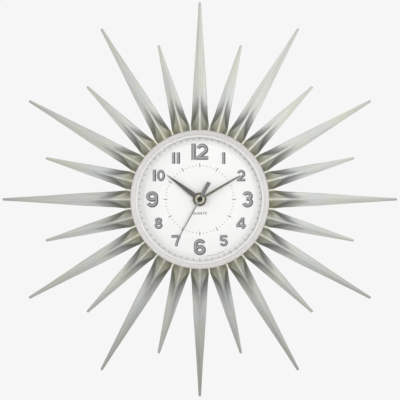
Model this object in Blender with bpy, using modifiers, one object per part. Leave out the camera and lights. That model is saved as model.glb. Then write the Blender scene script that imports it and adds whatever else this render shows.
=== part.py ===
"""Sunburst wall clock with a battery quartz movement.

World frame: metres, +Z up, the dial faces -Y, the wall is the plane Y = 0, and the origin lies on the hands'
axis where it meets the wall. Every shape is drawn in a dial frame first: x to the right, y up, and depth
standing off the wall towards the viewer. FACE_ON turns that frame into the world's.
Dimensions below are in millimetres; MM turns them into metres. Dial angles are in degrees, clockwise from 12.
"""

import math

import bmesh
import bpy
from mathutils import Matrix, Vector

MM = 0.001
FACE_ON = Matrix.Rotation(math.radians(90), 4, "X")

# Sunburst
RAY_PAIRS = 12
RAY_PITCH = 360 / (2 * RAY_PAIRS)
LONG_TIP_R = 215.0
SHORT_TIP_R = 173.4
RAY_GAP = 1.0
RAY_ROOT_R = 73.0
RAY_SHOULDER_R = 81.0
RAY_TIP_WIDTH = 2.6
RAY_TAPER = 1.12
RAY_BACK = 9.0
RAY_EDGE_ROOT = 11.2
RAY_EDGE_TIP = 10.3
CREST_ROOT = 14.9
CREST_TOP = 17.2
CREST_TOP_R = 92.0
CREST_TIP = 11.4
PETAL_END_R = 101.0
PETAL_SLOPE = 0.40
RIDGE_HALF_WIDTH = 0.9
TONGUE_WIDTH = 11.0
TONGUE_LOW = 12.0
TONGUE_HIGH = 15.0
HOOK_IN_R = 56.0
HOOK_OUT_R = 58.0
HOOK_LOW = 9.2

# Case, bezel, lens and dial
TURN_STEPS = 48
CORE_OUT_R = 54.0
CORE_IN_R = 52.0
FLANGE_R = 69.0
FLANGE_BACK = 15.3
WELL_R = 67.4
WEB_BACK = 17.7
WEB_FRONT = 19.7
CASE_FRONT = 23.0
STACK_HOLE_R = 4.3
BEZEL_R = 75.4
BEZEL_OPENING_R = 67.3
BEZEL_BORE_R = 69.3
BEZEL_CREST = 27.3
LENS_R = 68.2
LENS_SEAT = 23.3
LENS_RIM = 25.0
LENS_APEX = 33.0
LENS_INNER_APEX = 31.5
DIAL_R = 67.0
DIAL_BACK = 20.0
DIAL_FRONT = 20.5
TRACK_IN_R = 62.2
TRACK_BACK = 20.8
TRACK_TOP = 22.9
CLAMP_OUT_R = 70.0
CLAMP_IN_R = 58.6
CLAMP_BACK = 8.7
CLAMP_FRONT = 11.7
SCREW_CIRCLE_R = 64.0
SCREW_ANGLES = (52.5, 142.5, 232.5, 322.5)
SCREW_SHANK_R = 1.3
SCREW_HEAD_R = 2.6
CLEAR = 0.3

# Movement housing
HOUSE_X = 28.0
HOUSE_TOP = 27.0
HOUSE_BOTTOM = -29.0
WALL = 1.2
BAY_TOP = -13.05
BAY_WALL_TOP = -12.05
BAY_BOTTOM = -28.15
COVER_FRONT = 1.2
HOUSE_BACK = 1.5
HOUSE_INSIDE = 15.1
HOUSE_FRONT = 16.3
BUSH_R = 3.95
BUSH_BORE_R = 2.9
BUSH_END = 23.7
PIVOT_R = 0.5
PIVOT_HOLE_R = 0.8
BOSS_R = 1.4
KNOB_R = 7.5
KNOB_WELL_R = 7.9

# Gear train: (teeth, module)
ROTOR_PINION = (10, 0.30)
INTER_WHEEL = (50, 0.30)
INTER_PINION = (8, 0.36)
SECOND_WHEEL = (48, 0.36)
SECOND_PINION = (8, 0.36)
THIRD_WHEEL = (60, 0.36)
THIRD_PINION = (8, 0.34)
CENTRE_WHEEL = (64, 0.34)
CANNON_PINION = (12, 0.52)
MOTION_WHEEL = (36, 0.52)
MOTION_PINION = (10, 0.4992)
HOUR_WHEEL = (40, 0.4992)
ADDENDUM = 0.8
DEDENDUM = 1.3
ROOT_SHARE = 0.44
TIP_SHARE = 0.17
SECOND_ARBOR_R = 0.5
MINUTE_TUBE = (0.85, 1.6)
HOUR_TUBE = (1.95, 2.55)

# Hands
HOUR_ANGLE = 306.3
MINUTE_ANGLE = 59.0
SECOND_ANGLE = 209.3
HOUR_LENGTH = 44.5
MINUTE_LENGTH = 50.6
SECOND_LENGTH = 47.5
SECOND_TAIL = 21.0

# AA battery
CELL_R = 7.25
CELL_END = -25.2
CELL_SHOULDER = 24.1
CELL_BUTTON = 25.3
CELL_UP = -20.6
CELL_DEPTH = 7.55

for old in list(bpy.data.objects):
    bpy.data.objects.remove(old, do_unlink=True)

PARTS = bpy.data.collections.new("sunburst_wall_clock")
CUTTERS = bpy.data.collections.new("cutters")
for made in (PARTS, CUTTERS):
    bpy.context.scene.collection.children.link(made)


def polar(radius, angle, centre=(0.0, 0.0)):
    """A point of the dial frame at a clockwise angle from 12 o'clock."""
    turn = math.radians(angle)
    return (centre[0] + radius * math.sin(turn), centre[1] + radius * math.cos(turn))


def distance(gear_a, gear_b):
    """The centre distance at which two gears of (teeth, module) mesh."""
    return (gear_a[0] * gear_a[1] + gear_b[0] * gear_b[1]) / 2


def bearing(start, end):
    """The clockwise angle from 12 o'clock of the way from one point to another."""
    return math.degrees(math.atan2(end[0] - start[0], end[1] - start[1]))


CENTRE = (0.0, 0.0)
THIRD_AXIS = polar(distance(SECOND_PINION, THIRD_WHEEL), 285.0)
INTER_AXIS = polar(distance(INTER_PINION, SECOND_WHEEL), 50.0)
MOTION_AXIS = polar(distance(CANNON_PINION, MOTION_WHEEL), 97.0)
ROTOR_AXIS = polar(distance(ROTOR_PINION, INTER_WHEEL), 20.0, INTER_AXIS)


def put(name, data, collection=CUTTERS):
    """Links a new object, as a hidden wire guide until finish() makes it a part."""
    obj = bpy.data.objects.new(name, data)
    collection.objects.link(obj)
    obj.hide_render = True
    obj.display_type = "WIRE"
    return obj


def baked(obj, matrix=None):
    """The object as its modifiers leave it, as a plain closed mesh with its faces pointing out."""
    bpy.context.view_layer.update()
    graph = bpy.context.evaluated_depsgraph_get()
    mesh = bpy.data.meshes.new_from_object(obj.evaluated_get(graph))
    mesh.transform(matrix @ obj.matrix_world if matrix else obj.matrix_world)
    bm = bmesh.new()
    bm.from_mesh(mesh)
    bmesh.ops.remove_doubles(bm, verts=bm.verts, dist=0.000002)
    bmesh.ops.dissolve_degenerate(bm, edges=bm.edges, dist=0.0000005)
    bmesh.ops.recalc_face_normals(bm, faces=bm.faces)
    bm.to_mesh(mesh)
    bm.free()
    name = obj.name
    bpy.data.objects.remove(obj, do_unlink=True)
    return put(name, mesh)


def turned(name, profile, steps=TURN_STEPS, centre=CENTRE):
    """A turned solid: (radius, depth) points down the outer side and back up the inner one."""
    mesh = bpy.data.meshes.new(name)
    bm = bmesh.new()
    verts = [bm.verts.new((r * MM, 0.0, d * MM)) for r, d in profile]
    for a, b in zip(verts, verts[1:]):
        bm.edges.new((a, b))
    if profile[0][0] > 0 or profile[-1][0] > 0:
        bm.edges.new((verts[-1], verts[0]))
    bm.to_mesh(mesh)
    bm.free()
    obj = put(name, mesh)
    obj.location = (centre[0] * MM, centre[1] * MM, 0.0)
    screw = obj.modifiers.new("Turn", "SCREW")
    screw.axis = "Z"
    screw.angle = math.tau
    screw.steps = steps
    screw.render_steps = steps
    screw.use_merge_vertices = True
    screw.merge_threshold = 0.000002
    return baked(obj)


def rod(name, radius, low, high, centre=CENTRE, sides=12, matrix=None):
    """A round rod along the depth axis."""
    mesh = bpy.data.meshes.new(name)
    bm = bmesh.new()
    middle = Matrix.Translation(Vector((centre[0], centre[1], (low + high) / 2)) * MM)
    bmesh.ops.create_cone(
        bm,
        cap_ends=True,
        segments=sides,
        radius1=radius * MM,
        radius2=radius * MM,
        depth=(high - low) * MM,
        matrix=matrix @ middle if matrix else middle,
    )
    bm.to_mesh(mesh)
    bm.free()
    return put(name, mesh)


def tube(name, inner, outer, low, high, centre=CENTRE, steps=16):
    """A round tube along the depth axis."""
    profile = [(outer, high), (outer, low), (inner, low), (inner, high)]
    return turned(name, profile, steps, centre)


def block(name, x, y, depth):
    """A box between (low, high) pairs."""
    mesh = bpy.data.meshes.new(name)
    bm = bmesh.new()
    bmesh.ops.create_cube(bm, size=1.0)
    size = [(b - a) * MM for a, b in (x, y, depth)]
    middle = [(a + b) / 2 * MM for a, b in (x, y, depth)]
    bmesh.ops.scale(bm, vec=size, verts=bm.verts)
    bmesh.ops.translate(bm, vec=middle, verts=bm.verts)
    bm.to_mesh(mesh)
    bm.free()
    return put(name, mesh)


def plate(name, loops, low, high, matrix=None):
    """A flat plate cut to an outline, with the further loops as its holes."""
    curve = bpy.data.curves.new(name, "CURVE")
    curve.dimensions = "2D"
    curve.fill_mode = "BOTH"
    curve.extrude = (high - low) / 2 * MM
    for loop in loops:
        spline = curve.splines.new("POLY")
        spline.points.add(len(loop) - 1)
        for point, (x, y) in zip(spline.points, loop):
            point.co = (x * MM, y * MM, 0.0, 1.0)
        spline.use_cyclic_u = True
    obj = put(name, curve)
    obj.location.z = (low + high) / 2 * MM
    return baked(obj, matrix)


def ring_of(radius, count, centre=CENTRE, start=0.0):
    """Points evenly round a circle."""
    return [polar(radius, start + 360 * k / count, centre) for k in range(count)]


def soft_rect(x0, y0, x1, y1, radius, count=4):
    """A rectangle with rounded corners."""
    points = []
    corners = ((x1, y1, 0), (x1, y0, 90), (x0, y0, 180), (x0, y1, 270))
    for x, y, start in corners:
        centre = (
            x - math.copysign(radius, x - (x0 + x1) / 2),
            y - math.copysign(radius, y - (y0 + y1) / 2),
        )
        for k in range(count + 1):
            points.append(polar(radius, start + 90 * k / count, centre))
    return points


def tooth_loop(gear, centre, tooth_angle):
    """The outline of a gear with one tooth centred on an angle."""
    teeth, module = gear
    pitch_r = teeth * module / 2
    root_r = pitch_r - DEDENDUM * module
    tip_r = pitch_r + ADDENDUM * module
    step = 360 / teeth
    points = []
    for k in range(teeth):
        middle = tooth_angle + k * step
        points.append(polar(root_r, middle - ROOT_SHARE * step / 2, centre))
        points.append(polar(tip_r, middle - TIP_SHARE * step / 2, centre))
        points.append(polar(tip_r, middle + TIP_SHARE * step / 2, centre))
        points.append(polar(root_r, middle + ROOT_SHARE * step / 2, centre))
    return points


def gear_disc(name, gear, centre, tooth_angle, low, high, bore=None):
    """A toothed disc, with a bore if its arbor is a tube."""
    loops = [tooth_loop(gear, centre, tooth_angle)]
    if bore:
        loops.append(ring_of(bore, 16, centre))
    return plate(name, loops, low, high)


def boolean(obj, operation, others):
    """Joins other solids to one, or cuts them out of it."""
    for other in others:
        step = obj.modifiers.new(operation.title(), "BOOLEAN")
        step.operation = operation
        step.solver = "EXACT"
        step.object = other
    result = baked(obj)
    for other in others:
        bpy.data.objects.remove(other, do_unlink=True)
    return result


def joined(obj, *others):
    return boolean(obj, "UNION", others)


def cut(obj, *others):
    return boolean(obj, "DIFFERENCE", others)


def material(name, colour, roughness, metallic=0.0, alpha=1.0):
    """A Principled material for one part."""
    made = bpy.data.materials.new(name)
    made.use_nodes = True
    shader = made.node_tree.nodes["Principled BSDF"]
    shader.inputs["Base Color"].default_value = (*colour, 1.0)
    shader.inputs["Roughness"].default_value = roughness
    shader.inputs["Metallic"].default_value = metallic
    shader.inputs["Alpha"].default_value = alpha
    made.diffuse_color = (*colour, alpha)
    return made


def finish(obj, name, look, pivot=CENTRE, depth=0.0, smooth=True):
    """Stands a part up in the world, with its origin on its own axis, and gives it its material."""
    obj.name = name
    obj.data.name = name
    origin = Vector((pivot[0], pivot[1], depth)) * MM
    obj.data.transform(FACE_ON @ Matrix.Translation(-origin))
    obj.location = FACE_ON @ origin
    obj.data.materials.clear()
    obj.data.materials.append(material(name, *look))
    if smooth:
        obj.data.shade_smooth()
        obj.data.set_sharp_from_angle(angle=math.radians(30))
    CUTTERS.objects.unlink(obj)
    PARTS.objects.link(obj)
    obj.hide_render = False
    obj.display_type = "TEXTURED"
    return obj


# Looks: colour, roughness, metallic value, alpha
CHAMPAGNE = ((0.52, 0.52, 0.46), 0.32, 0.75)
PEARL = ((0.62, 0.61, 0.57), 0.35, 0.3)
WHITE_CARD = ((0.88, 0.88, 0.88), 0.5)
CLEAR_LENS = ((0.95, 0.95, 0.95), 0.03, 0.0, 0.2)
GREY_HAND = ((0.12, 0.12, 0.11), 0.4, 0.5)
BLACK_PLASTIC = ((0.03, 0.03, 0.03), 0.5)
WHITE_PLASTIC = ((0.75, 0.75, 0.72), 0.45)
STEEL = ((0.55, 0.55, 0.55), 0.3, 1.0)
BRASS = ((0.60, 0.46, 0.22), 0.3, 1.0)
COPPER = ((0.55, 0.22, 0.09), 0.35, 1.0)
GREEN_BOARD = ((0.05, 0.20, 0.09), 0.4)
CELL_JACKET = ((0.10, 0.12, 0.16), 0.3, 0.2)


def ease(value):
    """A smooth step from 0 to 1."""
    value = min(max(value, 0.0), 1.0)
    return value * value * (3 - 2 * value)


def ray_width(radius, tip_r):
    """The width of a ray: it fills its share of the circle, then tapers to its tip."""
    share = 2 * radius * math.tan(math.radians(RAY_PITCH / 2)) - RAY_GAP
    shoulder = 2 * RAY_SHOULDER_R * math.tan(math.radians(RAY_PITCH / 2)) - RAY_GAP
    left = max((tip_r - radius) / (tip_r - RAY_SHOULDER_R), 0.0)
    return min(share, RAY_TIP_WIDTH + (shoulder - RAY_TIP_WIDTH) * left**RAY_TAPER)


def ray_crest(radius, tip_r):
    """The height of the ridge along a ray: a hump near the root, then a long fall to the tip."""
    if radius < CREST_TOP_R:
        rise = ease((radius - BEZEL_R) / (CREST_TOP_R - BEZEL_R))
        return CREST_ROOT + (CREST_TOP - CREST_ROOT) * rise
    left = max((tip_r - radius) / (tip_r - CREST_TOP_R), 0.0)
    return CREST_TIP + (CREST_TOP - CREST_TIP) * left**3.5


def ray_section(radius, tip_r):
    """Seven (across, depth) points: back, edge and crease on each side, with the ridge between."""
    half = ray_width(radius, tip_r) / 2
    along = min(max((radius - RAY_ROOT_R) / (tip_r - RAY_ROOT_R), 0.0), 1.0)
    edge = RAY_EDGE_ROOT + (RAY_EDGE_TIP - RAY_EDGE_ROOT) * along
    crest = ray_crest(radius, tip_r)
    petal = min(max((PETAL_END_R - radius) / (PETAL_END_R - RAY_ROOT_R), 0.0), 1.0)
    crease = RIDGE_HALF_WIDTH + (half * 0.98 - RIDGE_HALF_WIDTH) * petal**1.6
    crease = min(crease, half * 0.6) if petal == 0 else crease
    height = max(crest - PETAL_SLOPE * crease, edge + 0.2)
    if petal == 0:
        height = crest - 0.15
    side = [(-half, RAY_BACK), (-half, edge), (-crease, height)]
    return side + [(0.0, crest)] + [(-x, d) for x, d in reversed(side)]


def bar_section(width, low, high):
    """The same seven points laid round a plain rectangle."""
    side = [(-width / 2, low), (-width / 2, high), (-width / 4, high)]
    return side + [(0.0, high)] + [(-x, d) for x, d in reversed(side)]


def ray_mesh(name, tip_r):
    """A ray pointing at 12: a hooked tongue for the clamp, the petal at its root, and the tapered blade."""
    tongue = bar_section(TONGUE_WIDTH, TONGUE_LOW, TONGUE_HIGH)
    hook = bar_section(TONGUE_WIDTH, HOOK_LOW, TONGUE_HIGH)
    stations = [
        (HOOK_IN_R, hook),
        (HOOK_OUT_R, hook),
        (HOOK_OUT_R, tongue),
        (RAY_ROOT_R, tongue),
    ]
    petal_r = (RAY_ROOT_R, 77.0, 82.0, 89.0, 95.5, PETAL_END_R)
    blade_r = [PETAL_END_R + (tip_r - 1.2 - PETAL_END_R) * s for s in (0.12, 0.35, 0.7, 1.0)]
    for radius in (*petal_r, *blade_r):
        stations.append((radius, ray_section(radius, tip_r)))
    last = ray_section(tip_r - 1.2, tip_r)
    blunt = [(x * 0.45, RAY_BACK + (d - RAY_BACK) * 0.8) for x, d in last]
    stations.append((tip_r, blunt))
    mesh = bpy.data.meshes.new(name)
    bm = bmesh.new()
    loops = []
    for radius, section in stations:
        loops.append([bm.verts.new((x * MM, radius * MM, d * MM)) for x, d in section])
    for a, b in zip(loops, loops[1:]):
        for k in range(len(a)):
            bm.faces.new((a[k - 1], a[k], b[k], b[k - 1]))
    bm.faces.new(loops[0])
    bm.faces.new(reversed(loops[-1]))
    bmesh.ops.recalc_face_normals(bm, faces=bm.faces)
    bmesh.ops.triangulate(bm, faces=bm.faces)
    bm.to_mesh(mesh)
    bm.free()
    return mesh


# Rays, each its own moulding, hooked behind the clamp ring
for kind, tip, first in (("long", LONG_TIP_R, 0.0), ("short", SHORT_TIP_R, RAY_PITCH)):
    shared = ray_mesh(f"ray_{kind}", tip)
    for k in range(RAY_PAIRS):
        ray = put(f"ray_{kind}_{k:02d}", shared.copy())
        finish(ray, f"ray_{kind}_{k:02d}", CHAMPAGNE, smooth=False)
        ray.rotation_euler = (0.0, math.radians(first + 2 * RAY_PITCH * k), 0.0)

# Case body: dial web, flange the rays are clamped against, and the core that reaches the wall
case = turned(
    "case_body",
    [
        (FLANGE_R, CASE_FRONT),
        (FLANGE_R, FLANGE_BACK),
        (CORE_OUT_R, FLANGE_BACK),
        (CORE_OUT_R, 0.0),
        (CORE_IN_R, 0.0),
        (CORE_IN_R, WEB_BACK),
        (STACK_HOLE_R, WEB_BACK),
        (STACK_HOLE_R, WEB_FRONT),
        (WELL_R, WEB_FRONT),
        (WELL_R, CASE_FRONT),
    ],
)
bosses = []
holes = []
for k, angle in enumerate(SCREW_ANGLES):
    spot = polar(SCREW_CIRCLE_R, angle)
    bosses.append(rod(f"boss_{k}", 2.4, CLAMP_FRONT + CLEAR, 16.3, spot))
    holes.append(rod(f"hole_{k}", SCREW_SHANK_R + CLEAR, 11.0, 18.3, spot))
finish(cut(joined(case, *bosses), *holes), "case_body", WHITE_PLASTIC)

# Ring that holds every tongue against the case flange
clamp = tube("clamp", CLAMP_IN_R, CLAMP_OUT_R, CLAMP_BACK, CLAMP_FRONT, steps=TURN_STEPS)
holes = []
for k, angle in enumerate(SCREW_ANGLES):
    spot = polar(SCREW_CIRCLE_R, angle)
    holes.append(rod(f"hole_{k}", SCREW_SHANK_R + CLEAR, 8.0, 12.5, spot))
finish(cut(clamp, *holes), "ray_clamp_ring", BLACK_PLASTIC)

# Its screws, put in from the rear
for k, angle in enumerate(SCREW_ANGLES):
    profile = [
        (0.0, 17.9),
        (SCREW_SHANK_R - 0.5, 17.9),
        (SCREW_SHANK_R, 17.0),
        (SCREW_SHANK_R, CLAMP_BACK - CLEAR),
        (SCREW_HEAD_R, CLAMP_BACK - CLEAR),
        (SCREW_HEAD_R - 0.5, 6.6),
        (0.0, 6.6),
    ]
    spot = polar(SCREW_CIRCLE_R, angle)
    screw_part = turned("screw", profile, 12, spot)
    driver = block("driver", (spot[0] - 0.3, spot[0] + 0.3), (spot[1] - 1.7, spot[1] + 1.7), (6.0, 7.4))
    across = block("across", (spot[0] - 1.7, spot[0] + 1.7), (spot[1] - 0.3, spot[1] + 0.3), (6.0, 7.4))
    recess = joined(driver, across)
    finish(cut(screw_part, recess), f"clamp_screw_{k + 1}", STEEL, spot, 8.4)

# Bezel: an outer lip, a sloping band and a bead round the lens
bezel = turned(
    "bezel_ring",
    [
        (BEZEL_OPENING_R, 26.3),
        (67.9, 27.0),
        (68.8, BEZEL_CREST),
        (69.7, 26.9),
        (70.3, 26.0),
        (73.0, 24.4),
        (74.7, 23.0),
        (BEZEL_R, 21.0),
        (BEZEL_R, FLANGE_BACK),
        (BEZEL_BORE_R, FLANGE_BACK),
        (BEZEL_BORE_R, LENS_SEAT),
        (LENS_R + CLEAR, LENS_SEAT),
        (LENS_R + CLEAR, LENS_RIM + CLEAR),
        (BEZEL_OPENING_R, LENS_RIM + CLEAR),
    ],
)
finish(bezel, "bezel_ring", PEARL)

# Lens: a shallow dome with a flat rim under the bezel
dome = [(0.0, LENS_APEX)]
for k in range(1, 6):
    radius = 66.8 * k / 5
    dome.append((radius, LENS_APEX - 7.0 * (k / 5) ** 2))
dome += [(67.0, LENS_RIM), (LENS_R, LENS_RIM), (LENS_R, LENS_SEAT), (65.2, LENS_SEAT)]
for k in range(5, -1, -1):
    radius = 65.2 * k / 5
    dome.append((radius, LENS_INNER_APEX - 7.1 * (k / 5) ** 2))
finish(turned("lens", dome), "lens", CLEAR_LENS)

# Dial and the sloping minute-track ring that holds it down
dial = tube("dial", STACK_HOLE_R, DIAL_R, DIAL_BACK, DIAL_FRONT, steps=TURN_STEPS)
finish(dial, "dial_plate", WHITE_CARD)
track = turned(
    "dial_flange",
    [
        (DIAL_R, TRACK_TOP),
        (DIAL_R, TRACK_BACK),
        (TRACK_IN_R, TRACK_BACK),
        (TRACK_IN_R, TRACK_BACK + 0.4),
        (66.4, TRACK_TOP),
    ],
)
finish(track, "dial_flange", PEARL)

# Movement housing: an open tray with the battery bay below the train
outer = soft_rect(-HOUSE_X, HOUSE_BOTTOM, HOUSE_X, HOUSE_TOP, 2.5)
inner_x = HOUSE_X - WALL
train_bay = soft_rect(-inner_x, BAY_WALL_TOP, inner_x, HOUSE_TOP - WALL, 1.0, 2)
cell_bay = soft_rect(-inner_x, BAY_BOTTOM, inner_x, BAY_TOP, 0.8, 2)
walls = plate("walls", [outer, train_bay, cell_bay], 0.3, HOUSE_FRONT - 0.4)
front = plate("front", [outer, ring_of(BUSH_BORE_R, 24)], HOUSE_INSIDE, HOUSE_FRONT)
bush = tube("bush", BUSH_BORE_R, BUSH_R, HOUSE_INSIDE + 0.4, BUSH_END, steps=24)
third_boss = rod("third_boss", BOSS_R, 10.3, 15.6, THIRD_AXIS)
rotor_boss = rod("rotor_boss", BOSS_R, 12.6, 15.6, ROTOR_AXIS)
motion_boss = rod("motion_boss", 1.7, 13.8, 15.6, MOTION_AXIS)
peg_a = rod("peg_a", 1.0, 11.9, 15.6, (-22.0, 11.0), 8)
peg_b = rod("peg_b", 1.0, 11.9, 15.6, (-16.0, 17.5), 8)
house = joined(walls, front, bush, third_boss, rotor_boss, motion_boss, peg_a, peg_b)
house = cut(
    house,
    block("rebate", (-40.0, 40.0), (BAY_TOP, 40.0), (-1.0, HOUSE_BACK)),
    block("left_notch", (-27.4, -25.1), (-13.6, -11.4), (4.6, 14.4)),
    block("right_notch", (25.1, 27.4), (-13.6, -11.4), (4.6, 14.4)),
    rod("third_hole", PIVOT_HOLE_R, 9.0, 14.3, THIRD_AXIS),
    rod("rotor_hole", PIVOT_HOLE_R, 12.0, 14.3, ROTOR_AXIS),
    rod("motion_hole", 0.9, 13.0, 15.3, MOTION_AXIS),
)
finish(house, "movement_case", BLACK_PLASTIC)

# Rear cover: bearing bosses, the idler's stud and the sunken well of the setting knob
cover_outline = soft_rect(-HOUSE_X, BAY_TOP + 0.3, HOUSE_X, HOUSE_TOP, 2.0)
cover = plate("cover", [cover_outline], 0.0, COVER_FRONT)
well = rod("well", KNOB_WELL_R + 0.8, 0.6, 3.8, MOTION_AXIS, 32)
second_boss = rod("second_boss", 1.6, 0.6, 3.9, CENTRE, 12)
third_rear = rod("third_rear", BOSS_R, 0.6, 5.9, THIRD_AXIS)
rotor_rear = rod("rotor_rear", BOSS_R, 0.6, 5.7, ROTOR_AXIS)
stud = rod("stud", 0.35, 0.6, 7.7, INTER_AXIS, 8)
cover = joined(cover, well, second_boss, third_rear, rotor_rear, stud)
cover = cut(
    cover,
    rod("well_bore", KNOB_WELL_R, -1.0, 3.0, MOTION_AXIS, 32),
    rod("motion_way", 0.9, 2.0, 5.0, MOTION_AXIS),
    rod("second_hole", PIVOT_HOLE_R, 1.6, 5.0, CENTRE),
    rod("third_hole", PIVOT_HOLE_R, 1.6, 7.0, THIRD_AXIS),
    rod("rotor_hole", PIVOT_HOLE_R, 1.6, 7.0, ROTOR_AXIS),
)
finish(cover, "movement_cover", BLACK_PLASTIC)

# Nut and washer that clamp dial, case and hanger to the movement
washer = tube("washer", STACK_HOLE_R, 7.0, 20.8, 21.2, steps=24)
finish(washer, "dial_washer", STEEL)
nut = plate("nut", [ring_of(6.2, 6), ring_of(STACK_HOLE_R, 24)], 21.5, 23.3)
finish(nut, "fixing_nut", BRASS)

# Hanger: a bent steel strap under the nut's stack, with a keyhole above the movement
STRAP = [
    (-9.0, 16.6),
    (29.0, 16.6),
    (29.0, 1.2),
    (46.0, 1.2),
    (46.0, 2.0),
    (29.8, 2.0),
    (29.8, 17.4),
    (-9.0, 17.4),
]
SIDE_ON = Matrix(((0, 0, 1, 0), (1, 0, 0, 0), (0, 1, 0, 0), (0, 0, 0, 1)))
strap = plate("strap", [STRAP], -10.0, 10.0, SIDE_ON)
strap = cut(
    strap,
    rod("stack_hole", STACK_HOLE_R, 16.0, 18.0, CENTRE, 24),
    rod("nail_head", 3.6, 0.0, 3.0, (0.0, 36.0), 24),
    block("nail_slot", (-1.6, 1.6), (36.0, 42.0), (0.0, 3.0)),
)
finish(strap, "hanger", STEEL)

# Hands
def tapered(start, end, width_start, width_end, angle):
    """A blade outline between two distances from the axis."""
    lead = polar(1.0, angle)
    side = polar(1.0, angle + 90.0)
    points = []
    for reach, offset in (
        (start, -width_start / 2),
        (end, -width_end / 2),
        (end, width_end / 2),
        (start, width_start / 2),
    ):
        points.append((lead[0] * reach + side[0] * offset, lead[1] * reach + side[1] * offset))
    return points


hour = joined(
    plate("hour_hub", [ring_of(7.2, 32), ring_of(HOUR_TUBE[1] + CLEAR, 16)], 24.0, 24.8),
    plate("hour_blade", [tapered(6.0, HOUR_LENGTH, 4.6, 0.5, HOUR_ANGLE)], 24.05, 24.75),
)
finish(hour, "hour_hand", GREY_HAND)
minute = joined(
    plate("minute_hub", [ring_of(5.0, 28), ring_of(MINUTE_TUBE[1] + CLEAR, 16)], 25.1, 25.9),
    plate("minute_blade", [tapered(4.0, MINUTE_LENGTH, 2.2, 1.0, MINUTE_ANGLE)], 25.15, 25.85),
)
finish(minute, "minute_hand", GREY_HAND)
second = joined(
    rod("second_hub", 2.8, 26.2, 27.9, CENTRE, 24),
    plate("second_blade", [tapered(1.5, SECOND_LENGTH, 1.5, 1.0, SECOND_ANGLE)], 26.25, 26.85),
    plate("second_tail", [tapered(1.5, SECOND_TAIL, 3.0, 4.4, SECOND_ANGLE + 180.0)], 26.3, 26.9),
)
second = cut(second, rod("second_socket", SECOND_ARBOR_R + CLEAR, 25.0, 27.2))
finish(second, "second_hand", GREY_HAND)

# Train, each mesh phased so that a tooth stands in a gap on its line of centres
to_inter = bearing(ROTOR_AXIS, INTER_AXIS)
inter_to_centre = bearing(INTER_AXIS, CENTRE)
to_third = bearing(CENTRE, THIRD_AXIS)
to_motion = bearing(CENTRE, MOTION_AXIS)


def facing_gap(gear, angle):
    """The tooth angle that turns a gap, not a tooth, towards an angle."""
    return angle + 180.0 / gear[0]


second_wheel = joined(
    gear_disc("second_disc", SECOND_WHEEL, CENTRE, facing_gap(SECOND_WHEEL, inter_to_centre + 180), 4.7, 5.7),
    gear_disc("second_pinion", SECOND_PINION, CENTRE, to_third, 5.5, 7.7),
    rod("second_arbor", SECOND_ARBOR_R, 1.9, 26.9),
)
finish(second_wheel, "second_wheel", WHITE_PLASTIC)

third_wheel = joined(
    gear_disc("third_disc", THIRD_WHEEL, THIRD_AXIS, facing_gap(THIRD_WHEEL, to_third + 180), 6.4, 7.4),
    gear_disc("third_pinion", THIRD_PINION, THIRD_AXIS, to_third + 180, 7.2, 9.8),
    rod("third_arbor", PIVOT_R, 1.9, 14.0, THIRD_AXIS),
)
finish(third_wheel, "third_wheel", WHITE_PLASTIC, THIRD_AXIS, 7.0)

centre_tube = tube("centre_tube", *MINUTE_TUBE, 8.5, 25.7)
centre_wheel = joined(
    gear_disc("centre_disc", CENTRE_WHEEL, CENTRE, facing_gap(CENTRE_WHEEL, to_third), 8.4, 9.4, 1.2),
    gear_disc("cannon", CANNON_PINION, CENTRE, to_motion, 9.2, 11.5, 1.2),
    centre_tube,
)
finish(centre_wheel, "centre_wheel", WHITE_PLASTIC)

motion_wheel = joined(
    gear_disc("motion_disc", MOTION_WHEEL, MOTION_AXIS, facing_gap(MOTION_WHEEL, to_motion + 180), 10.1, 11.1),
    gear_disc("motion_pinion", MOTION_PINION, MOTION_AXIS, to_motion + 180, 10.9, 13.4),
    rod("motion_arbor", 0.6, 1.5, 15.0, MOTION_AXIS),
)
finish(motion_wheel, "motion_wheel", WHITE_PLASTIC, MOTION_AXIS, 10.0)

hour_tube = tube("hour_tube", *HOUR_TUBE, 12.0, 24.6)
hour_wheel = joined(
    gear_disc("hour_disc", HOUR_WHEEL, CENTRE, facing_gap(HOUR_WHEEL, to_motion), 11.9, 12.9, 2.2),
    hour_tube,
)
finish(hour_wheel, "hour_wheel", WHITE_PLASTIC)

inter_wheel = joined(
    gear_disc("inter_disc", INTER_WHEEL, INTER_AXIS, facing_gap(INTER_WHEEL, to_inter + 180), 6.5, 7.3),
    gear_disc("inter_pinion", INTER_PINION, INTER_AXIS, inter_to_centre, 4.4, 6.7),
)
inter_wheel = cut(inter_wheel, rod("stud_bore", 0.62, 4.0, 8.0, INTER_AXIS, 8))
finish(inter_wheel, "intermediate_wheel", WHITE_PLASTIC, INTER_AXIS, 6.0)

rotor = joined(
    gear_disc("rotor_pinion", ROTOR_PINION, ROTOR_AXIS, to_inter, 6.1, 7.9),
    rod("rotor_arbor", PIVOT_R, 1.9, 13.9, ROTOR_AXIS),
    rod("rotor_magnet", 2.5, 9.2, 12.2, ROTOR_AXIS, 20),
)
finish(rotor, "rotor", STEEL, ROTOR_AXIS, 9.0)

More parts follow.
